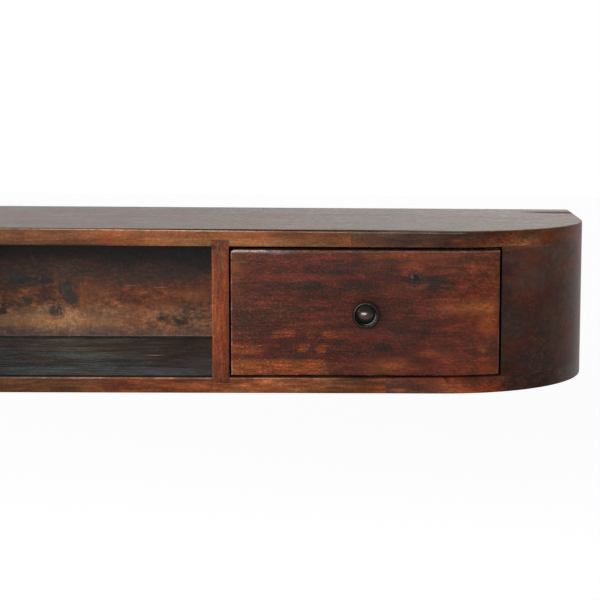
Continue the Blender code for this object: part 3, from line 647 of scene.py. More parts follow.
class Nodes:
    """The node tree of a material or of the world."""

    def __init__(self, tree):
        self.tree = tree

    def node(self, kind, settings, values, output=0):
        made = self.tree.nodes.new("ShaderNode" + kind)
        for setting, value in settings.items():
            if setting == "stops":
                self.set_stops(made.color_ramp, value)
            else:
                setattr(made, setting, value)
        for socket, value in values.items():
            self.feed(made.inputs[socket], value)
        return Tone(self, made.outputs[output])

    def set_stops(self, ramp, stops):
        while len(ramp.elements) < len(stops):
            ramp.elements.new(0.5)
        for element, (position, colour) in zip(ramp.elements, stops):
            element.position = position
            element.color = (*colour, 1.0)

    def feed(self, socket, value):
        if isinstance(value, Tone):
            self.tree.links.new(value.socket, socket)
        elif socket.type == "RGBA":
            socket.default_value = (*value, 1.0)
        else:
            socket.default_value = value

    def join(self, x, y, z):
        return self.node("CombineXYZ", {}, {0: x, 1: y, 2: z})

    def noise(self, point, scale=1.0, detail=2.0, roughness=0.5):
        values = {"Vector": point, "Scale": scale, "Detail": detail, "Roughness": roughness}
        return self.node("TexNoise", {}, values)

    def ramp(self, value, stops):
        return self.node("ValToRGB", {"stops": stops}, {0: value})

    def mix(self, share, first, second, blend="MIX"):
        settings = {"data_type": "RGBA", "blend_type": blend}
        return self.node("Mix", settings, {0: share, 6: first, 7: second}, output=2)

    def seen(self):
        """1 for what the camera, a reflection or a glass sees, and 0 for what lights the object."""
        camera, glossy, through = [
            self.node("LightPath", {}, {}, output=ray)
            for ray in ("Is Camera Ray", "Is Glossy Ray", "Is Transmission Ray")
        ]
        return camera.most(glossy).most(through)


class Finish(Nodes):
    """A material, with the nodes that lead to its shader."""

    def __init__(self, name, **same_all_over):
        self.material = bpy.data.materials.new(name)
        self.material.use_nodes = True
        super().__init__(self.material.node_tree)
        self.shader = self.tree.nodes["Principled BSDF"]
        self.lead(**same_all_over)

    def lead(self, **tones):
        """Sets or leads to the shader's own sockets."""
        for socket, tone in tones.items():
            self.feed(self.shader.inputs[socket.replace("_", " ")], tone)

    def places(self):
        """The three coordinates on the piece, in metres, as it stands at rest."""
        point = self.node("TexCoord", {}, {}, output="Object")
        return [self.node("SeparateXYZ", {}, {0: point}, output=axis) for axis in range(3)]

    def bump(self, height, distance):
        return self.node("Bump", {}, {"Height": height, "Distance": distance})


class Wood(Finish):
    """A board of stained mango wood: its bands, streaks, fibres and pores run along the grain."""

    def __init__(self, name, grain="x", seed=0.0, knots=(), staves=None, curl=1.0, gloss=LACQUER_IOR):
        super().__init__(name, IOR=gloss)
        self.curl = curl
        x, y, z = self.x, self.y, self.z = self.places()
        ways = {"x": (x, z, y), "y": (y, z, x), "z": (z, x, y)}
        along, across, through = ways[grain] if grain in ways else (self.round_the_end(), z, y)
        self.knots = []
        for knot_along, knot_across, radius in knots:
            far = (((along - knot_along) / KNOT_LENGTH) ** 2 + (across - knot_across) ** 2) ** 0.5
            self.knots.append((far, radius))
            spread = far.fall(0.0, KNOT_REACH * radius) * KNOT_SPREAD
            across = across - (across - knot_across) * spread
        along = along + seed
        if staves:
            along = along + STAVE_SHIFT * staves(x, y)
        self.along, self.across, self.through = along, across, through
        sway = self.grain(SWAY, 1.0)
        self.across = across + (sway - 0.5) * SWAY_DEPTH
        self.band = self.grain(BAND, 2.0)
        self.cloud = self.grain(CLOUD, 3.0, 0.55)
        self.streak = self.grain(STREAK, 3.0, 0.6)
        self.line = self.grain(LINE, 2.0, 0.6)
        self.fleck = self.grain(FLECK, 3.0, 0.7)
        self.mottle = self.grain(MOTTLE, 3.0, 0.6)
        self.fibre = self.grain(FIBRE, 2.0)
        self.pores = self.grain(PORE, 1.0).rise(0.60, 0.72)

    def grain(self, repeats, detail, roughness=0.5):
        along, across = repeats
        along, across = along * self.curl, across / self.curl ** 0.5
        point = self.join(self.along * along, self.across * across, self.through * across)
        return self.noise(point, 1.0, detail, roughness)

    def round_the_end(self):
        """The way along the face of a rounded end, with the curve laid out flat."""
        beyond = abs(self.x) - CORNER_X
        ahead = CORNER_Y - self.y
        turn = beyond.math("ARCTAN2", ahead.most(0.0))
        return turn * END_RADIUS + beyond.least(0.0) - ahead.least(0.0)

    def front_arris(self):
        """1 on the arris of the straight front and 0 behind it."""
        return self.y.fall(FRONT_Y + 0.0012, FRONT_Y + 0.0020)

    def stain_with(self, stain, cloudy=0.45, streaky=0.30, lined=0.15):
        """Stains the whole board, darker and lighter by how the grain takes it."""
        rest = STAIN_SPREAD - cloudy - streaky - lined
        level = rest * self.band + streaky * self.streak + lined * self.line + cloudy * self.cloud
        self.level = level - (STAIN_SPREAD - 1) / 2
        self.colour = self.tones(stain)

    def tones(self, stain):
        return self.ramp(self.level, list(zip(STAIN_STEPS, stain)))

    def stain(self, mask, tone, blend="MIX"):
        self.colour = self.mix(mask, self.colour, tone, blend)

    def tint(self, mask, tone):
        self.stain(mask, tone, "MULTIPLY")

    def shade(self, lift, mask=1.0):
        self.tint(mask, self.join(lift, lift, lift))

    def stretches(self, place, rows, mask=1.0):
        """Lighter and darker stretches of a board."""
        lift = 1.0
        for middle, reach, amount in rows:
            lift = lift + place.near(middle, reach) * amount
        self.shade(lift, mask)

    def lay_out(self, along, up, low, high, ragged=(0.06, 0.05)):
        """The face that marks are placed on, in shares, with edges that run out along the grain."""
        self.share = (along - low[0]) / (high[0] - low[0]) + (self.streak - 0.5) * ragged[0]
        self.rise = (up - low[1]) / (high[1] - low[1])
        rise = self.rise + (self.cloud + self.line - 1) * ragged[1]
        self.face = self.join(self.share, rise, 0.0)
        self.ragged = 2.6 * (self.fleck - 0.5) + 2.4 * (self.line - 0.5) + 1.3 * (self.streak - 0.5)

    def marks(self, rows, soft=1.4, core=0.35, rough=1.0):
        """The depth in the core of each mark, and 0 from its soft edge on."""
        ragged = self.ragged * rough
        mask = None
        for along, up, length, height, depth in rows:
            scale = (1 / length, 1 / height, 0.0)
            spot = self.node("VectorMath", {"operation": "MULTIPLY"}, {0: self.face, 1: scale})
            middle = (along / length, up / height, 0.0)
            far = self.node("VectorMath", {"operation": "DISTANCE"}, {0: spot, 1: middle}, output=1)
            patch = (far + ragged).fall(core, soft) * depth
            mask = patch if mask is None else mask.most(patch)
        return mask

    def patches(self, rows, mask=1.0):
        """Broad places where the wood took the stain lighter or darker."""
        lift = 1.0
        for row in rows:
            lift = lift + self.marks([row], 1.3, core=0.1, rough=0.4)
        self.shade(lift, mask)

    def ripples(self, rows, lean):
        """Short leaning blocks of rippled figure."""
        along = self.share - self.rise * lean + (self.mottle - 0.5) * 0.020
        up = self.rise + (self.line - 0.5) * 0.05
        mask = None
        for place, height, length, half, depth in rows:
            block = along.near(place - height * lean, 1.4 * length).rise(0.05, 0.60)
            block = block * up.near(height, 1.4 * half).rise(0.05, 0.60) * depth
            mask = block if mask is None else mask.most(block)
        return mask

    def ring_knots(self, core, ring, depth=0.7):
        """Each knot: a broken ring, a ring of smut inside it, and the core."""
        for far, radius in self.knots:
            ragged = far + (self.mottle - 0.5) * 2.4 * radius + (self.fleck - 0.5) * 1.6 * radius
            broken = depth * self.streak.rise(0.38, 0.58)
            self.stain(ragged.near(2.6 * radius, 1.3 * radius) * broken, ring)
            self.stain(ragged.near(1.5 * radius, 0.7 * radius) * 0.6, SMUT_AND_PAINTED_SHADE)
            self.stain(ragged.fall(0.5 * radius, 1.4 * radius), core)

    def lacquer(
        self, roughness=0.30, depth=1.0, streaky=0.7, mottled=0.8, flecked=2.2,
        rosy=0.4, pored=0.25, tinged=1.0,
    ):
        """Fibres, flecks and pores over the stain, and the lacquer on top."""
        rough = streaky * (self.streak - 0.5) + 1.4 * streaky * (self.line - 0.5)
        rough = rough + flecked * (self.fleck - 0.5) + mottled * (self.mottle - 0.5)
        rough = rough + 0.7 * (self.fibre - 0.5)
        shade = (rough * (0.92 * depth)).exponent() * (1 - pored * self.pores)
        self.shade(shade.least(3.0))
        tinge = self.grain(TINGE, 2.0).rise(0.38, 0.62)
        self.tint(tinged, self.mix(tinge, *TINGES))
        rose = (0.6 * self.mottle + 0.4 * self.fleck).rise(0.42, 0.58)
        self.tint(rosy, self.mix(rose, *ROSES))
        height = 0.6 * self.fibre + 0.9 * self.streak + 0.5 * self.line - 0.7 * self.pores
        self.lead(
            Base_Color=self.colour,
            Roughness=roughness + 0.10 * self.cloud + 0.15 * self.pores,
            Normal=self.bump(height, BUMP_DEPTH),
        )
        return self.material


# Wood of the top board
def top_staves(x, y):
    """A number for each stave of the top, so that no two show the same grain."""
    rear = y.past(REAR_STRIP_Y)
    middle = y.past(MIDDLE_STRIP_Y)
    front_joint = x.past(TOP_JOINT_X) * (1 - middle)
    left_joint = x.past(TOP_LEFT_JOINT_X) * (1 - middle)
    return rear * 1.3 + middle * 0.6 + front_joint * 0.37 + left_joint * 0.81


def stain_top_edge(wood):
    """The front edge: redder at the left, dark right of the joint, and a glow before the end."""
    ragged_x = wood.x + (wood.streak - 0.5) * 0.010
    right = wood.x.past(TOP_JOINT_X) * (0.55 + 0.45 * wood.x.rise(0.309, 0.360))
    wood.stain(right, wood.tones(TOP_RIGHT_STAIN))
    wood.stain(ragged_x.fall(0.05, 0.12) * 0.7, wood.tones(TOP_MIDDLE_STAIN))
    wood.stain(ragged_x.between(0.452, 0.470, 0.483, 0.499), wood.tones(TOP_GLOW_STAIN))
    wood.stain(1 - wood.x.past(TOP_LEFT_JOINT_X), wood.tones(TOP_LEFT_STAIN))
    wood.stretches(abs(ragged_x), TOP_EDGE_STRETCHES)
    low = wood.z.fall(CEILING_Z + 0.003, CEILING_Z + 0.011)
    wood.shade(1 + 0.35 * ragged_x.between(0.458, 0.472, 0.490, 0.506) * low)
    high = wood.z.rise(CEILING_Z + 0.004, CEILING_Z + 0.013)
    wood.shade(1.25 - 0.65 * high, wood.x.between(0.430, 0.445, 0.490, 0.505))
    wood.shade(0.70 + 0.30 * high, wood.x.between(0.385, 0.400, 0.430, 0.445))
    wood.stain(abs(ragged_x).rise(0.488, 0.506), wood.tones(TOP_END_STAIN))
    wood.shade(1.22, abs(wood.x).rise(0.512, 0.535))


def stain_top_face(wood, on_top):
    """The upper face, duller than the edge, with the seams of its strips and a dark rear strip."""
    wood.stain(on_top, wood.tones(TOP_FACE_STAIN))
    seams = wood.y.near(REAR_STRIP_Y, 0.0006).most(wood.y.near(MIDDLE_STRIP_Y, 0.0004))
    wood.stain(seams * 0.7, SMUT_AND_PAINTED_SHADE)
    strip = wood.y.rise(REAR_STRIP_Y - 0.001, REAR_STRIP_Y + 0.001) * on_top
    wood.stain(strip * (0.30 + 0.45 * wood.x.rise(0.46, 0.52)), TOP_STRIP)
    wood.stain(wood.y.near(REAR_STRIP_Y, 0.0022) * wood.x.rise(0.40, 0.50) * on_top * 0.7, SMUT_AND_PAINTED_SHADE)
    rim = (abs(wood.x) - CORNER_X).most(0.0) ** 2 + (CORNER_Y - wood.y).most(0.0) ** 2
    rim = (rim ** 0.5).rise(END_RADIUS - 0.0045, END_RADIUS - 0.0015) * abs(wood.x).rise(0.50, 0.54)
    wood.stain(rim * on_top * 0.8, TOP_RIM)
    wood.stain(wood.x.rise(0.20, 0.56) * on_top * 0.6, TOP_HAZE)


def wear_and_painted_light_top_edge(wood, on_top, painted_dark_line):
    """A dark foot; a dark line along the front of the top face and on the arris's upper part, which is
    painted shade for the arris's dark reflection; and the arris pale below it, partly wear and partly a
    painted highlight.
    """
    low_half = wood.z.fall(CEILING_Z + 0.002, CEILING_Z + 0.0095)
    foot = wood.z.fall(CEILING_Z + 0.0002, CEILING_Z + 0.0022)
    wood.shade(1 - 0.34 * low_half - 0.40 * foot, wood.x.fall(0.06, 0.12))
    high_half = wood.z.rise(CEILING_Z + 0.007, CEILING_Z + 0.010) * (1 - on_top)
    wood.shade(1.10 - 0.30 * high_half, wood.x.between(0.20, 0.25, 0.30, 0.33))
    wood.stain(painted_dark_line * 0.9, SMUT_AND_PAINTED_SHADE)
    sloping = wood.z + 0.0065 * wood.x.most(0.0).least(0.30)
    arris = wood.front_arris()
    # Painted shade: the arris's upper part darker, for its dark reflection
    above = sloping.rise(TOP_HIGH.z + 0.0003, TOP_HIGH.z + 0.0008) * arris
    above = above * (0.55 - 0.25 * wood.x.rise(0.15, 0.25)) * wood.x.fall(0.26, 0.40)
    wood.stain(above, SMUT_AND_PAINTED_SHADE)
    # A pale line on the arris: partly wear and partly a painted highlight
    rubbed_and_highlit = sloping.near(TOP_HIGH.z - 0.0001, 0.0009) * arris
    rubbed_and_highlit = rubbed_and_highlit * (wood.x.fall(0.15, 0.24) * 0.7 + 0.3)
    wood.stain(rubbed_and_highlit * (0.55 + 0.45 * wood.cloud.rise(0.40, 0.55)), RUBBED_TOP_AND_HIGHLIGHT)


def top_wood():
    wood = Wood("top_wood", seed=0.3, staves=top_staves, gloss=1.18)
    wood.stain_with(TOP_STAIN, cloudy=0.35)
    on_top = wood.z.rise(TOP_HIGH.z - 0.0010, TOP_HIGH.z - 0.0002)
    far = abs(wood.x)
    # Painted shade: a dark line along the front of the top face, for the arris's dark reflection; the line is
    # also made rougher below
    painted_dark_line = wood.y.fall(FRONT_Y + 0.006, FRONT_Y + 0.009) * on_top * far.fall(0.30, 0.42)
    stain_top_edge(wood)
    stain_top_face(wood, on_top)
    wear_and_painted_light_top_edge(wood, on_top, painted_dark_line)
    round_end = far.rise(CORNER_X, CORNER_X + 0.06) * (0.5 + 0.5 * far.fall(0.500, 0.535))
    dull = 0.5 * (wood.line - 0.5) + 0.5 * (wood.streak - 0.5) + 0.6 * (wood.fleck - 0.5)
    behind = wood.y.near(REAR_STRIP_Y + 0.010, 0.022) * wood.x.rise(0.485, 0.530) * on_top
    roughness = 0.30 - 0.05 * wood.x.rise(0.0, 0.50) + 0.18 * round_end * (1 - on_top)
    roughness = roughness + 0.45 * dull * on_top + 0.6 * painted_dark_line + 0.45 * behind
    return wood.lacquer(roughness, streaky=0.35)


# Wood of the bottom board
def bottom_staves(x, y):
    """A number for each stave of the bottom."""
    middle = y.past(BOTTOM_STRIP_Y)
    joint = x.past(BOTTOM_JOINT_X) * (1 - middle)
    left_joint = x.past(BOTTOM_LEFT_JOINT_X) * (1 - middle)
    return middle * 0.9 + joint * 0.43 + left_joint * 0.7


def stain_shelf(wood):
    """The compartment's floor: brushed grey-green rows, plum and dark marks, a painted bluish sheen with a
    hatch in it, and a scratch.
    """
    sway = wood.y + (wood.cloud - 0.5) * 0.016
    rows = wood.noise(wood.join(wood.x * 17.0, sway * 130.0, 0.0), 1.0, 4.0, 0.75)
    slow = wood.noise(wood.join(wood.x * 14.0, sway * 22.0, 3.0), 1.0, 2.0)
    on_shelf = wood.z.rise(SHELF_Z - 0.0010, SHELF_Z - 0.0002) * abs(wood.x).fall(BAY_X, BAY_X + 0.002)
    wood.stain(on_shelf, wood.ramp(0.65 * rows + 0.35 * slow, SHELF_STOPS))
    wood.tint(on_shelf, wood.mix(slow.rise(0.42, 0.58), *SHELF_TINTS))
    wood.stretches(wood.x, SHELF_STRETCHES, on_shelf)
    wood.shade(1 - 0.3 * wood.y.near(FRONT_Y + 0.025, 0.035) * wood.x.fall(0.02, 0.11), on_shelf)
    wood.shade((1 + 2.4 * (wood.fleck - 0.5) + 2.6 * (wood.line - 0.5)).most(0.3), on_shelf)
    wood.lay_out(wood.x, wood.y, (-BAY_X, FRONT_Y), (BAY_X, BACK_FACE_Y), (0.08, 0.03))
    wood.patches(SHELF_PATCHES, on_shelf)
    wood.stain(wood.marks(SHELF_PLUMS, 1.8) * on_shelf * 0.8, SHELF_PLUM)
    wood.stain(wood.marks(SHELF_SMUTS) * on_shelf, INK)
    # Painted reflection: a bluish sheen near the front, hatched
    painted_sheen = wood.marks(SHELF_PAINTED_SHEENS, 1.8) * on_shelf
    wood.stain(painted_sheen * (0.4 + 0.9 * wood.line), SHELF_PAINTED_SHEEN)
    hatch = wood.noise(wood.join((wood.x - 0.19 * wood.y) * 260.0, wood.y * 9.0, 5.0), 1.0, 2.0)
    wood.shade((0.1 + 1.9 * hatch).most(0.3), painted_sheen)
    wood.stain(wood.marks(SHELF_SCRATCHES) * on_shelf, SHELF_SCRATCH)
    # Painted shade: a dark line on the shelf just behind its front arris, for the arris's dark reflection
    wood.stain(wood.y.fall(FRONT_Y + 0.007, FRONT_Y + 0.010) * on_shelf * 0.9, INK)


def wear_and_painted_light_bottom_edge(wood):
    """A dark line along the shelf's arris, which is painted shade for the arris's dark reflection, and a pale
    one below it, partly wear and partly a painted highlight.
    """
    far = abs(wood.x)
    arris = wood.front_arris()
    # Painted shade: the top of the shelf's arris darker, for its dark reflection
    above = wood.z.rise(SHELF_Z - 0.0010, SHELF_Z - 0.0005) * arris
    wood.stain(above * far.fall(0.33, 0.42) * 0.85, INK)
    # A pale line below it: partly wear and partly a painted highlight
    rubbed_and_highlit = wood.z.near(SHELF_Z - 0.0013, 0.0012) * arris * far.fall(0.20, 0.33)
    wood.stain(rubbed_and_highlit * (0.25 + 0.5 * wood.cloud.rise(0.42, 0.56)), RUBBED_SHELF_AND_HIGHLIGHT)
    upper = wood.z.rise(SHELF_Z - 0.0080, SHELF_Z - 0.0045)
    wood.shade(1.22 - 0.52 * upper, wood.x.between(0.375, 0.395, 0.428, 0.448))


def bottom_wood():
    wood = Wood("bottom_wood", seed=7.9, staves=bottom_staves, gloss=1.20)
    wood.stain_with(BOTTOM_STAIN)
    wood.stain(wood.x.past(BAY_X), wood.tones(BOTTOM_MIDDLE_STAIN))
    wood.stain(wood.x.past(BOTTOM_JOINT_X), wood.tones(BOTTOM_RIGHT_STAIN))
    far = abs(wood.x) + (wood.streak - 0.5) * 0.04
    wood.stretches(far, BOTTOM_EDGE_STRETCHES)
    wood.stain(far.rise(0.446, 0.468), wood.tones(BOTTOM_DARK_STAIN))
    wood.stain(far.rise(0.492, 0.530), wood.tones(BOTTOM_END_STAIN))
    stain_shelf(wood)
    wear_and_painted_light_bottom_edge(wood)
    return wood.lacquer(0.34 + 0.30 * far.between(CORNER_X, CORNER_X + 0.06, 0.495, 0.530))


# Woods of the dividers, the back and the end walls
def divider_wood(name, inner, seed):
    """A divider, whose end grain shows in the boards above and below it."""
    wood = Wood(name, grain="z", seed=seed, gloss=1.20)
    wood.stain_with(DIVIDER_STAIN, cloudy=0.25, streaky=0.2)
    mottled = wood.mottle.rise(0.4, 0.6)
    upper_end = wood.z.rise(CEILING_Z + 0.001, CEILING_Z + 0.003)
    lower_end = wood.z.fall(SHELF_Z - 0.003, SHELF_Z - 0.001)
    wood.stain(upper_end.most(lower_end) * 0.45 * mottled, UMBER)
    wood.stretches(wood.z + (wood.cloud - 0.5) * 0.02, DIVIDER_STRETCHES)
    wood.stain(wood.z.rise(0.030, 0.060) * 0.5 * mottled, DIVIDER_DUST)
    # A pale line along the divider's inner front arris: partly wear and partly a painted highlight
    line = wood.x.near(inner, 0.0010) * wood.y.fall(FRONT_Y + 0.002, FRONT_Y + 0.004)
    wood.stain(line * 0.25 * wood.cloud.rise(0.40, 0.60), RUBBED_DIVIDER_AND_HIGHLIGHT)
    spot = (((wood.x - inner) / 0.005) ** 2 + ((wood.z - CEILING_Z + 0.001) / 0.0028) ** 2) ** 0.5
    wood.stain((spot + 1.6 * (wood.mottle - 0.5)).fall(0.6, 1.2) * 0.8, SMUT_AND_PAINTED_SHADE)
    return wood.lacquer(0.30, 1.25)


def on_face(corners, along, up):
    """The place on a piece, in metres, of a mark that is given in shares of its face."""
    (left, foot), (right, top) = corners
    return left + along * (right - left), foot + up * (top - foot)


def grown(rows, longer, higher, deeper=1.0):
    """The same marks, longer, higher and deeper, but none deeper than 1."""
    return [
        (along, up, longer * length, higher * height, min(1.0, deeper * depth))
        for along, up, length, height, depth in rows
    ]


def mark_back(wood):
    """The back's glows, stains, knots and scratches, each where the real one is."""
    wood.stain(wood.marks(BACK_GLOWS, 1.8) * 0.8, BACK_GLOW)
    wood.stain(wood.marks(BACK_REDS), RUSSET)
    wood.stain(wood.marks(BACK_PLUMS, 1.6), PLUM)
    wood.ring_knots(BACK_KNOT, BACK_RING, 0.5)
    wood.stain(wood.marks(grown(BACK_SLATES, 1.35, 1.35, 1.25), 1.3, rough=0.6), BACK_SLATE)
    wood.stain(wood.marks(BACK_INKS, 1.3, core=0.7, rough=0.5), INK)
    for along, up, length, depth in BACK_SCRATCHES:
        x, z = on_face(BACK_FACE, along, up)
        scratch = wood.z.near(z + (wood.x - x) * 0.03, 0.0009) * wood.x.near(x, length * 2 * BAY_X)
        wood.stain(scratch.rise(0.05, 0.6) * depth * (0.4 + wood.fleck), BACK_SCRATCH)
    wood.patches(BACK_PATCHES)


def back_wood():
    knots = [(*on_face(BACK_FACE, along, up), radius) for along, up, radius in BACK_KNOTS]
    wood = Wood("back_wood", seed=3.3, knots=knots, curl=2.6)
    wood.stain_with(BACK_STAIN, cloudy=0.28, streaky=0.28, lined=0.32)
    wood.lay_out(wood.x, wood.z, *BACK_FACE, (0.05, 0.06))
    band = wood.rise + (wood.cloud - 0.5) * 0.20
    wood.stain(band.near(0.42, 0.18) * 0.45, wood.tones(BACK_BAND_STAIN))
    wood.stain(band.near(0.15, 0.19).rise(0.0, 0.7) * 0.85, wood.tones(BACK_GOLD_STAIN))
    mark_back(wood)
    crosswise = wood.noise(wood.join(wood.x * 420, wood.z * 90, 0.0), 1.0, 3.0, 0.7)
    ragged_z = wood.z + (wood.band - 0.5) * 0.07 + (crosswise - 0.5) * 0.03 + (wood.streak - 0.5) * 0.012
    # Darker upper part: partly the board's own darker stain and partly a painted shadow of the top board
    wood.stain(ragged_z.rise(-0.012, 0.008) * 0.74, BACK_STAIN_AND_SHADOW)
    wood.stretches(wood.x, BACK_STRETCHES)
    wood.tint(wood.rise.near(0.36, 0.20).rise(0.0, 0.5) * wood.x.rise(-0.04, 0.03), BACK_WARMTH)
    wood.tint(1.0, wood.mix(wood.x.rise(-0.02, 0.08), *BACK_TINTS))
    # Near-black band at the top: partly dark stain and partly a painted shadow of the top board
    wood.stain(ragged_z.rise(0.016, 0.028) * 0.85, INK)
    ragged_foot = wood.z + (crosswise - 0.5) * 0.02
    wood.stain(ragged_foot.fall(SHELF_Z + 0.004, SHELF_Z + 0.014) * 0.65, BACK_DUST)
    wood.stain(wood.z.fall(SHELF_Z + 0.0006, SHELF_Z + 0.0014) * 0.6, RUBBED_BACK)
    wood.shade(0.7 + 0.6 * crosswise)
    behind_face = wood.y.rise(BACK_FACE_Y + 0.002, BACK_FACE_Y + 0.004)
    wood.stain(behind_face, wood.tones(BACK_REAR_STAIN))
    return wood.lacquer(0.36, rosy=0.15, tinged=0.6)


def end_wood(name, seed):
    """A rounded end wall: dark and dull, redder next to the drawer and lighter towards the top."""
    wood = Wood(name, grain="round", seed=seed, gloss=1.14)
    wood.stain_with(END_STAIN, cloudy=0.30, streaky=0.35)
    far = abs(wood.x)
    wood.lay_out(far, wood.z, (FRONT_HIGH.x, SHELF_Z), (TOP_HIGH.x, CEILING_Z), (0.25, 0.12))
    wood.stain(wood.marks(END_REDS, 1.8), END_RED)
    wood.stain(wood.marks(END_PLUMS, 1.8), END_PLUM)
    wood.stain(wood.band.rise(0.50, 0.62) * 0.35, END_BAND)
    wood.stretches(wood.z + (wood.cloud - 0.5) * 0.02, END_STRETCHES_UP)
    wood.stretches(far, END_STRETCHES_ALONG)
    wood.tint(far.rise(0.500, 0.540), END_WARMTH)
    wood.tint(far.fall(FRONT_HIGH.x + 0.010, FRONT_HIGH.x + 0.025), END_COOLNESS)
    wood.patches(END_PATCHES)
    top = wood.z.rise(CEILING_Z - 0.0035, CEILING_Z - 0.001)
    wood.stain(top * far.near(0.490, 0.026) * 0.9, END_GLOW)
    wood.shade(1.2, far.rise(0.512, 0.535) * wood.z.rise(CEILING_Z - 0.009, CEILING_Z - 0.003))
    return wood.lacquer(0.30, 0.48, rosy=0.25)


# Woods of the drawers
def rub_and_highlight_front(wood, low, high, inner):
    """The arrises of a drawer front, pale most of all at its inner top corner: partly wear and partly a
    painted highlight.
    """
    outer = low.x + high.x - inner
    rubbed_and_highlit = wood.noise(wood.join(wood.x * 60, wood.z * 60, 0.0), 1.0, 3.0).rise(0.35, 0.6)
    rubbed_and_highlit = 0.35 + 0.65 * rubbed_and_highlit
    close = abs(wood.x - inner).fall(0.012, 0.060)
    curved = abs(wood.x).rise(CORNER_X, CORNER_X + 0.002)
    front = wood.y.fall(FRONT_Y + 0.0018, FRONT_Y + 0.0030).most(curved)
    top = wood.z.near(high.z, 0.0024) * (0.22 + 0.70 * close)
    side = wood.x.near(inner, 0.0018) * 0.38
    wood.stain((top + side) * rubbed_and_highlit * front, WORN_AND_HIGHLIGHT)
    # Bluish white under the top arris at the inner corner: partly wear and partly a painted highlight
    under_top = wood.z.near(high.z - 0.0004, 0.0028) * close
    wood.stain(under_top * (0.3 + 0.6 * rubbed_and_highlit) * front, RUBBED_FRONT_AND_HIGHLIGHT)
    other = wood.x.near(outer, 0.0016) * 0.26
    foot = wood.z.near(low.z, 0.0010) * 0.3
    wood.stain(other.most(foot) * rubbed_and_highlit * front, WORN_AND_HIGHLIGHT)
    edges = wood.y.rise(FRONT_Y + 0.003, FRONT_Y + 0.005) * (1 - curved)
    edges = edges.most(wood.x.near(outer, 0.0005))
    edges = edges.most(wood.z.near(high.z, 0.0004) * wood.y.past(FRONT_Y + 0.004))
    wood.stain(edges * 0.8, FRONT_EDGE)


def front_wood(name, low, high, inner, seed, placed):
    """A drawer front, with each of its marks placed one by one."""
    corners = ((low.x, low.z), (high.x, high.z))
    knots = [(*on_face(corners, along, up), radius) for along, up, radius in placed["knots"]]
    wood = Wood(name, seed=seed, knots=knots, gloss=1.20)
    wood.stain_with(FRONT_STAIN, cloudy=0.32, streaky=0.25)
    wood.lay_out(wood.x, wood.z, *corners)
    wood.stain(wood.marks(placed["reds"], 1.7), FRONT_RED)
    glow = wood.ramp(wood.line, GLOW_STOPS)
    wood.stain(wood.marks(placed["glows"], 1.5), glow)
    strip_end, strip_top = placed["pale strip"]
    strip = wood.rise.fall(strip_top, strip_top + 0.02) * wood.share.fall(strip_end, strip_end + 0.03)
    wood.stain(strip * 0.85, glow)
    wood.stain(wood.ripples(placed["ripples"], 0.25) * 0.85, wood.ramp(wood.line, FIGURE_STOPS))
    wood.stain(wood.share.rise(0.76, 0.92) * 0.10, FRONT_RIGHT)
    wood.stretches(wood.share, FRONT_STRETCHES_ALONG)
    wood.stretches(wood.rise, FRONT_STRETCHES_UP)
    wood.stain(wood.marks(placed["plums"], 1.6), PLUM)
    wood.patches(placed["patches"])
    wood.tint(wood.share.fall(0.03, 0.14), FRONT_LEFT_TINT)
    wood.tint(wood.share.fall(0.18, 0.30) * wood.rise.near(0.47, 0.13), FRONT_MIDDLE_TINT)
    wood.tint(wood.rise.rise(0.72, 0.90), FRONT_TOP_TINT)
    # Smut marks, and on the right drawer the painted shadow of the knob
    wood.stain(wood.marks(grown(placed["smuts_and_shadow"], 1.25, 1.45), 1.5, rough=0.8), FRONT_SMUT_AND_SHADOW)
    wood.ring_knots(FRONT_KNOT, FRONT_RING, 0.75)
    # Painted highlights: bluish-grey glints
    wood.stain(wood.marks(placed["painted_glints"]), FRONT_PAINTED_GLINT)
    rub_and_highlight_front(wood, low, high, inner)
    flecked = 3.2 - wood.share.rise(0.60, 0.80)
    return wood.lacquer(
        0.28, 1.3, streaky=0.35, mottled=1.2, flecked=flecked, rosy=0.7, pored=0.15, tinged=0.5
    )


def box_wood(name, grain, seed):
    """The plain wood of the drawer boxes, bay sides, stops and dowels."""
    wood = Wood(name, grain=grain, seed=seed)
    wood.stain_with(BOX_STAIN)
    return wood.lacquer(0.50, 0.8, rosy=0.1, tinged=0.3)


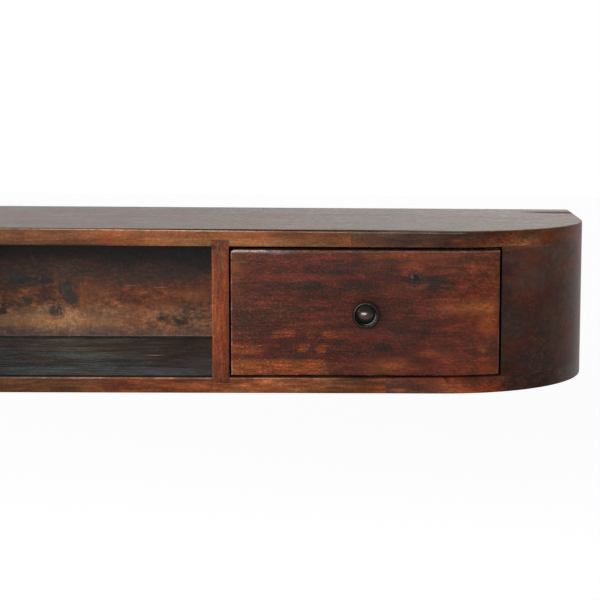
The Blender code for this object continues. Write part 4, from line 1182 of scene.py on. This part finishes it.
# Metals
def knob_bronze():
    """Dark bronze, with painted shade below and painted light above, a painted reflection (the pale eye) and
    a painted highlight (the streak) on the dome, its dark dish and a pale crescent of painted reflection.
    """
    finish = Finish("knob_bronze", Metallic=1.0)
    x, y, z = finish.places()
    across = abs(x) - (KNOB_LOW.x + KNOB_HIGH.x) / 2
    up = z - (KNOB_LOW.z + KNOB_HIGH.z) / 2
    far = (across ** 2 + up ** 2) ** 0.5 / KNOB_RADIUS
    spots = finish.noise(finish.join(x, y, z), 500.0, 3.0)
    # Painted shade and light: darker towards the bottom of the knob, lighter towards its top
    level = up / KNOB_RADIUS + 0.3 * (spots - 0.5)
    colour = finish.mix(level.rise(-0.5, 0.2), BRONZE_PAINTED_SHADE_BELOW, BRONZE_PAINTED_LIGHT_ABOVE)
    # Painted reflection: a pale eye on the dome
    eye = abs(up + 0.0003) / 0.0040 + (across / 0.0074) ** 2 + (spots - 0.5) * 0.7
    colour = finish.mix(eye.fall(0.65, 1.1), colour, BRONZE_PAINTED_REFLECTION)
    # Painted highlight: a pale streak on the dome
    streak = abs(up - 0.0014 - 0.18 * across) / 0.0015 + ((across + 0.0020) / 0.0050) ** 2
    colour = finish.mix(streak.fall(0.6, 1.1), colour, BRONZE_PAINTED_HIGHLIGHT)
    rim = far.near(0.850, 0.030) * (0.6 + 0.4 * spots)
    colour = finish.mix(rim, colour, BRONZE_RIM)
    groove = far.between(0.54, 0.61, 0.79, 0.83)
    colour = finish.mix(groove * 0.9, colour, BRONZE_GROOVE)
    # Painted reflection: a pale crescent low in the dish, which is also made rougher
    crescent = far.near(0.745, 0.12) * (across - up).rise(0.006, 0.013)
    colour = finish.mix(crescent * 0.95, colour, BRONZE_PAINTED_CRESCENT)
    colour = finish.mix(far.rise(0.875, 0.90), colour, BRONZE_FLANK)
    turned = 0.5 + 0.5 * (far * 160).sine()
    finish.lead(
        Base_Color=colour,
        Roughness=0.17 + 0.14 * spots + 0.22 * crescent + 0.30 * far.rise(0.88, 0.92),
        Normal=finish.bump(spots + 0.3 * turned, KNOB_BUMP_DEPTH),
    )
    return finish.material


def zinc_steel():
    finish = Finish("zinc_steel", Metallic=1.0)
    x, y, z = finish.places()
    spangle = finish.noise(finish.join(x, y, z), 300.0, 2.0)
    finish.lead(Base_Color=finish.ramp(spangle, STEEL_STOPS), Roughness=0.28 + 0.15 * spangle)
    return finish.material


# Pieces
def place_piece(name, shape, material, body, nodes, smooth_angle=SMOOTH_ANGLE):
    bmesh.ops.recalc_face_normals(shape, faces=shape.faces)
    mesh = bpy.data.meshes.new(name)
    shape.to_mesh(mesh)
    shape.free()
    mesh.shade_smooth()
    mesh.set_sharp_from_angle(angle=math.radians(smooth_angle))
    mesh.materials.append(material)
    piece = bpy.data.objects.new(name, mesh)
    bpy.context.collection.objects.link(piece)
    weight = piece.modifiers.new("even_shading", "WEIGHTED_NORMAL")
    weight.keep_sharp = True
    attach(piece, body)
    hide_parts(*nodes)


def copied(node):
    """The frame's solid as one clean mesh to work on."""
    shape = bmesh.new()
    shape.from_mesh(frame["nodes"][node].data)
    bmesh.ops.remove_doubles(shape, verts=shape.verts, dist=TINY)
    bmesh.ops.dissolve_limit(shape, angle_limit=FLAT_ANGLE, verts=shape.verts, edges=shape.edges)
    return shape


def ease_arrises(shape, arris):
    """Rounds the sharp edges of a board, as far as the curve of its ends."""
    sharp = [
        edge
        for edge in shape.edges
        if edge.calc_face_angle(0.0) > math.radians(SHARP_ANGLE)
        and all(abs(vertex.co.x) < CORNER_X + TINY for vertex in edge.verts)
    ]
    bmesh.ops.bevel(
        shape,
        geom=sharp,
        offset=arris,
        offset_type="OFFSET",
        segments=2,
        profile=0.5,
        affect="EDGES",
        clamp_overlap=True,
    )


def finished(node, material, arris=0.0):
    """A finer copy of a piece of the frame. End walls and dividers close up to their boards."""
    shape = copied(node)
    if arris:
        ease_arrises(shape, arris)
    if node.startswith("end_wall"):
        for vertex in shape.verts:
            vertex.co.z = math.copysign(CEILING_Z + SEAM, vertex.co.z)
    if node.startswith("divider"):
        low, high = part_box(node)
        for vertex in shape.verts:
            if abs(vertex.co.z) > CEILING_Z:
                vertex.co.x += math.copysign(SEAM, vertex.co.x - (low.x + high.x) / 2)
    body = frame["nodes"][node]["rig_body"]
    place_piece(node + "_finished", shape, material, body, [node])


def sanded_front(node, material, inner):
    """A drawer front: its inner top corner sanded round, and its top arris a little uneven."""
    shape = copied(node)
    low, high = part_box(node)
    way = 1 if inner < (low.x + high.x) / 2 else -1
    arc = [CORNER_SANDING * step / ARC_STEPS for step in range(1, ARC_STEPS + 1)]
    width = high.x - low.x
    cuts = [((inner + way * reach, 0.0, 0.0), (1.0, 0.0, 0.0)) for reach in arc]
    cuts += [((0.0, 0.0, high.z - reach), (0.0, 0.0, 1.0)) for reach in arc]
    cuts += [
        ((low.x + width * step / ARRIS_STEPS, 0.0, 0.0), (1.0, 0.0, 0.0))
        for step in range(1, ARRIS_STEPS)
    ]
    for place, facing in cuts:
        everything = shape.verts[:] + shape.edges[:] + shape.faces[:]
        bmesh.ops.bisect_plane(shape, geom=everything, dist=TINY, plane_co=place, plane_no=facing)
    centre = Vector((inner + way * CORNER_SANDING, 0.0, high.z - CORNER_SANDING))
    for vertex in shape.verts:
        beside = (vertex.co.x - centre.x) * -way
        above = vertex.co.z - centre.z
        far = math.hypot(beside, above)
        if beside > 0 and above > 0 and far > CORNER_SANDING:
            vertex.co.x = centre.x - way * beside * CORNER_SANDING / far
            vertex.co.z = centre.z + above * CORNER_SANDING / far
        if vertex.co.z > high.z - ARRIS_REACH:
            swell = noise.noise(Vector((vertex.co.x * SWELLS, 0.0, 0.0)))
            vertex.co.z -= SWELL_DEPTH * (0.5 + swell)
    body = frame["nodes"][node]["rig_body"]
    place_piece(node + "_sanded", shape, material, body, [node])


def knob_outline():
    """The knob's turned outline, from the dome's middle over the rim to the screw's bore."""
    points = []
    for step in range(DOME_STEPS + 1):
        out = step / DOME_STEPS
        points.append((DOME_RADIUS * out, DOME_FOOT + DOME_RISE * (1 - out ** 2) ** DOME_FULLNESS))
    points += [*DISH, (RIM_RADIUS - BEAD - 0.004, 0.86)]
    for step in range(BEAD_STEPS + 1):
        turn = math.pi * (1 - step / BEAD_STEPS)
        points.append((RIM_RADIUS + BEAD * math.cos(turn), RIM_MIDDLE + BEAD * math.sin(turn)))
    points += [(RIM_RADIUS + BEAD + 0.006, 0.905), (0.95, 0.895), (0.996, 0.86)]
    for step in range(FLANK_STEPS + 1):
        turn = math.pi / 2 * step / FLANK_STEPS
        radius = NECK_RADIUS + (1 - NECK_RADIUS) * (1 - math.sin(turn))
        points.append((radius, NECK_HEIGHT + FLANK_HEIGHT * math.cos(turn)))
    return [*points, *FOOT_AND_BORE]


def turned_knob(node, material):
    """The knob, turned finer: dome, dish, beaded rim, flank and foot."""
    low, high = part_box(node)
    middle = (low + high) / 2
    shape = bmesh.new()
    verts = [
        shape.verts.new((middle.x + radius * KNOB_RADIUS, high.y - height * KNOB_HEIGHT, middle.z))
        for radius, height in knob_outline()
    ]
    edges = [shape.edges.new(pair) for pair in zip(verts, verts[1:])]
    bmesh.ops.spin(
        shape,
        geom=verts + edges,
        cent=middle,
        axis=(0.0, 1.0, 0.0),
        angle=2 * math.pi,
        steps=KNOB_STEPS,
        use_merge=True,
    )
    bmesh.ops.remove_doubles(shape, verts=shape.verts, dist=TINY)
    body = frame["nodes"][node]["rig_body"]
    place_piece(node + "_turned", shape, material, body, [node], KNOB_SMOOTH_ANGLE)


def dress():
    """Puts a finished piece in the place of every solid of the frame."""
    top = top_wood()
    bottom = bottom_wood()
    dividers = {
        "left": divider_wood("divider_wood_left", -BAY_X, 2.1),
        "right": divider_wood("divider_wood_right", BAY_X, 5.4),
    }
    ends = {"left": end_wood("end_wood_left", 1.7), "right": end_wood("end_wood_right", 8.2)}
    back = back_wood()
    box_along = box_wood("box_wood_along", "y", 6.1)
    box_across = box_wood("box_wood_across", "x", 9.4)
    bronze = knob_bronze()
    steel = zinc_steel()
    inner = {"left": OTHER_HIGH.x, "right": FRONT_LOW.x}
    fronts = {
        "right": front_wood("front_wood_right", FRONT_LOW, FRONT_HIGH, inner["right"], 4.9, FRONT_MARKS),
        "left": front_wood("front_wood_left", OTHER_LOW, OTHER_HIGH, inner["left"], 11.3, OTHER_MARKS),
    }
    for node in frame["nodes"]:
        hand = "left" if "left" in node else "right"
        if node == "top_board":
            finished(node, top, BOARD_ARRIS)
        elif node == "bottom_board":
            finished(node, bottom, BOARD_ARRIS)
        elif node == "back_panel":
            finished(node, back)
        elif node.startswith("divider"):
            finished(node, dividers[hand], DIVIDER_ARRIS)
        elif node.startswith("end_wall"):
            finished(node, ends[hand], END_ARRIS)
        elif node.startswith("drawer_front"):
            sanded_front(node, fronts[hand], inner[hand])
        elif node in ("knob_left", "knob_right"):
            turned_knob(node, bronze)
        elif "screw" in node or "washer" in node or "plate" in node:
            finished(node, steel)
        elif "side" in node or "stop" in node:
            finished(node, box_along)
        else:
            finished(node, box_across)


# Surroundings
def add_floor():
    mesh = bpy.data.meshes.new("floor")
    shape = bmesh.new()
    bmesh.ops.create_grid(shape, x_segments=1, y_segments=1, size=FLOOR_HALF)
    shape.to_mesh(mesh)
    shape.free()
    floor = bpy.data.objects.new("floor", mesh)
    floor.location = (0.0, 0.0, FLOOR_Z)
    bpy.context.collection.objects.link(floor)
    finish = Finish("pale_floor", Base_Color=FLOOR_TONE, Roughness=0.9, Emission_Strength=1.0)
    finish.lead(Emission_Color=finish.mix(finish.seen(), (0.0, 0.0, 0.0), FLOOR_GLOW))
    mesh.materials.append(finish.material)


def add_world():
    world = bpy.data.worlds.new("studio")
    bpy.context.scene.world = world
    world.use_nodes = True
    back = world.node_tree.nodes["Background"]
    sky = Nodes(world.node_tree)
    sky.feed(back.inputs["Color"], (1.0, 1.0, 1.0))
    sky.feed(back.inputs["Strength"], WORLD_LIGHT + (1 - WORLD_LIGHT) * sky.seen())


def add_key_light():
    """One broad soft light, in front of the console and a little above it."""
    data = bpy.data.lights.new("key", "AREA")
    data.shape = "RECTANGLE"
    data.size = KEY_WIDTH
    data.size_y = KEY_HEIGHT
    data.energy = KEY_POWER
    light = bpy.data.objects.new("key", data)
    light.location = KEY_PLACE
    light.rotation_euler = (KEY_TARGET - KEY_PLACE).to_track_quat("-Z", "Y").to_euler()
    bpy.context.collection.objects.link(light)


add_camera()
add_floor()
add_world()
add_key_light()
dress()
bpy.context.scene.view_settings.view_transform = "Standard"
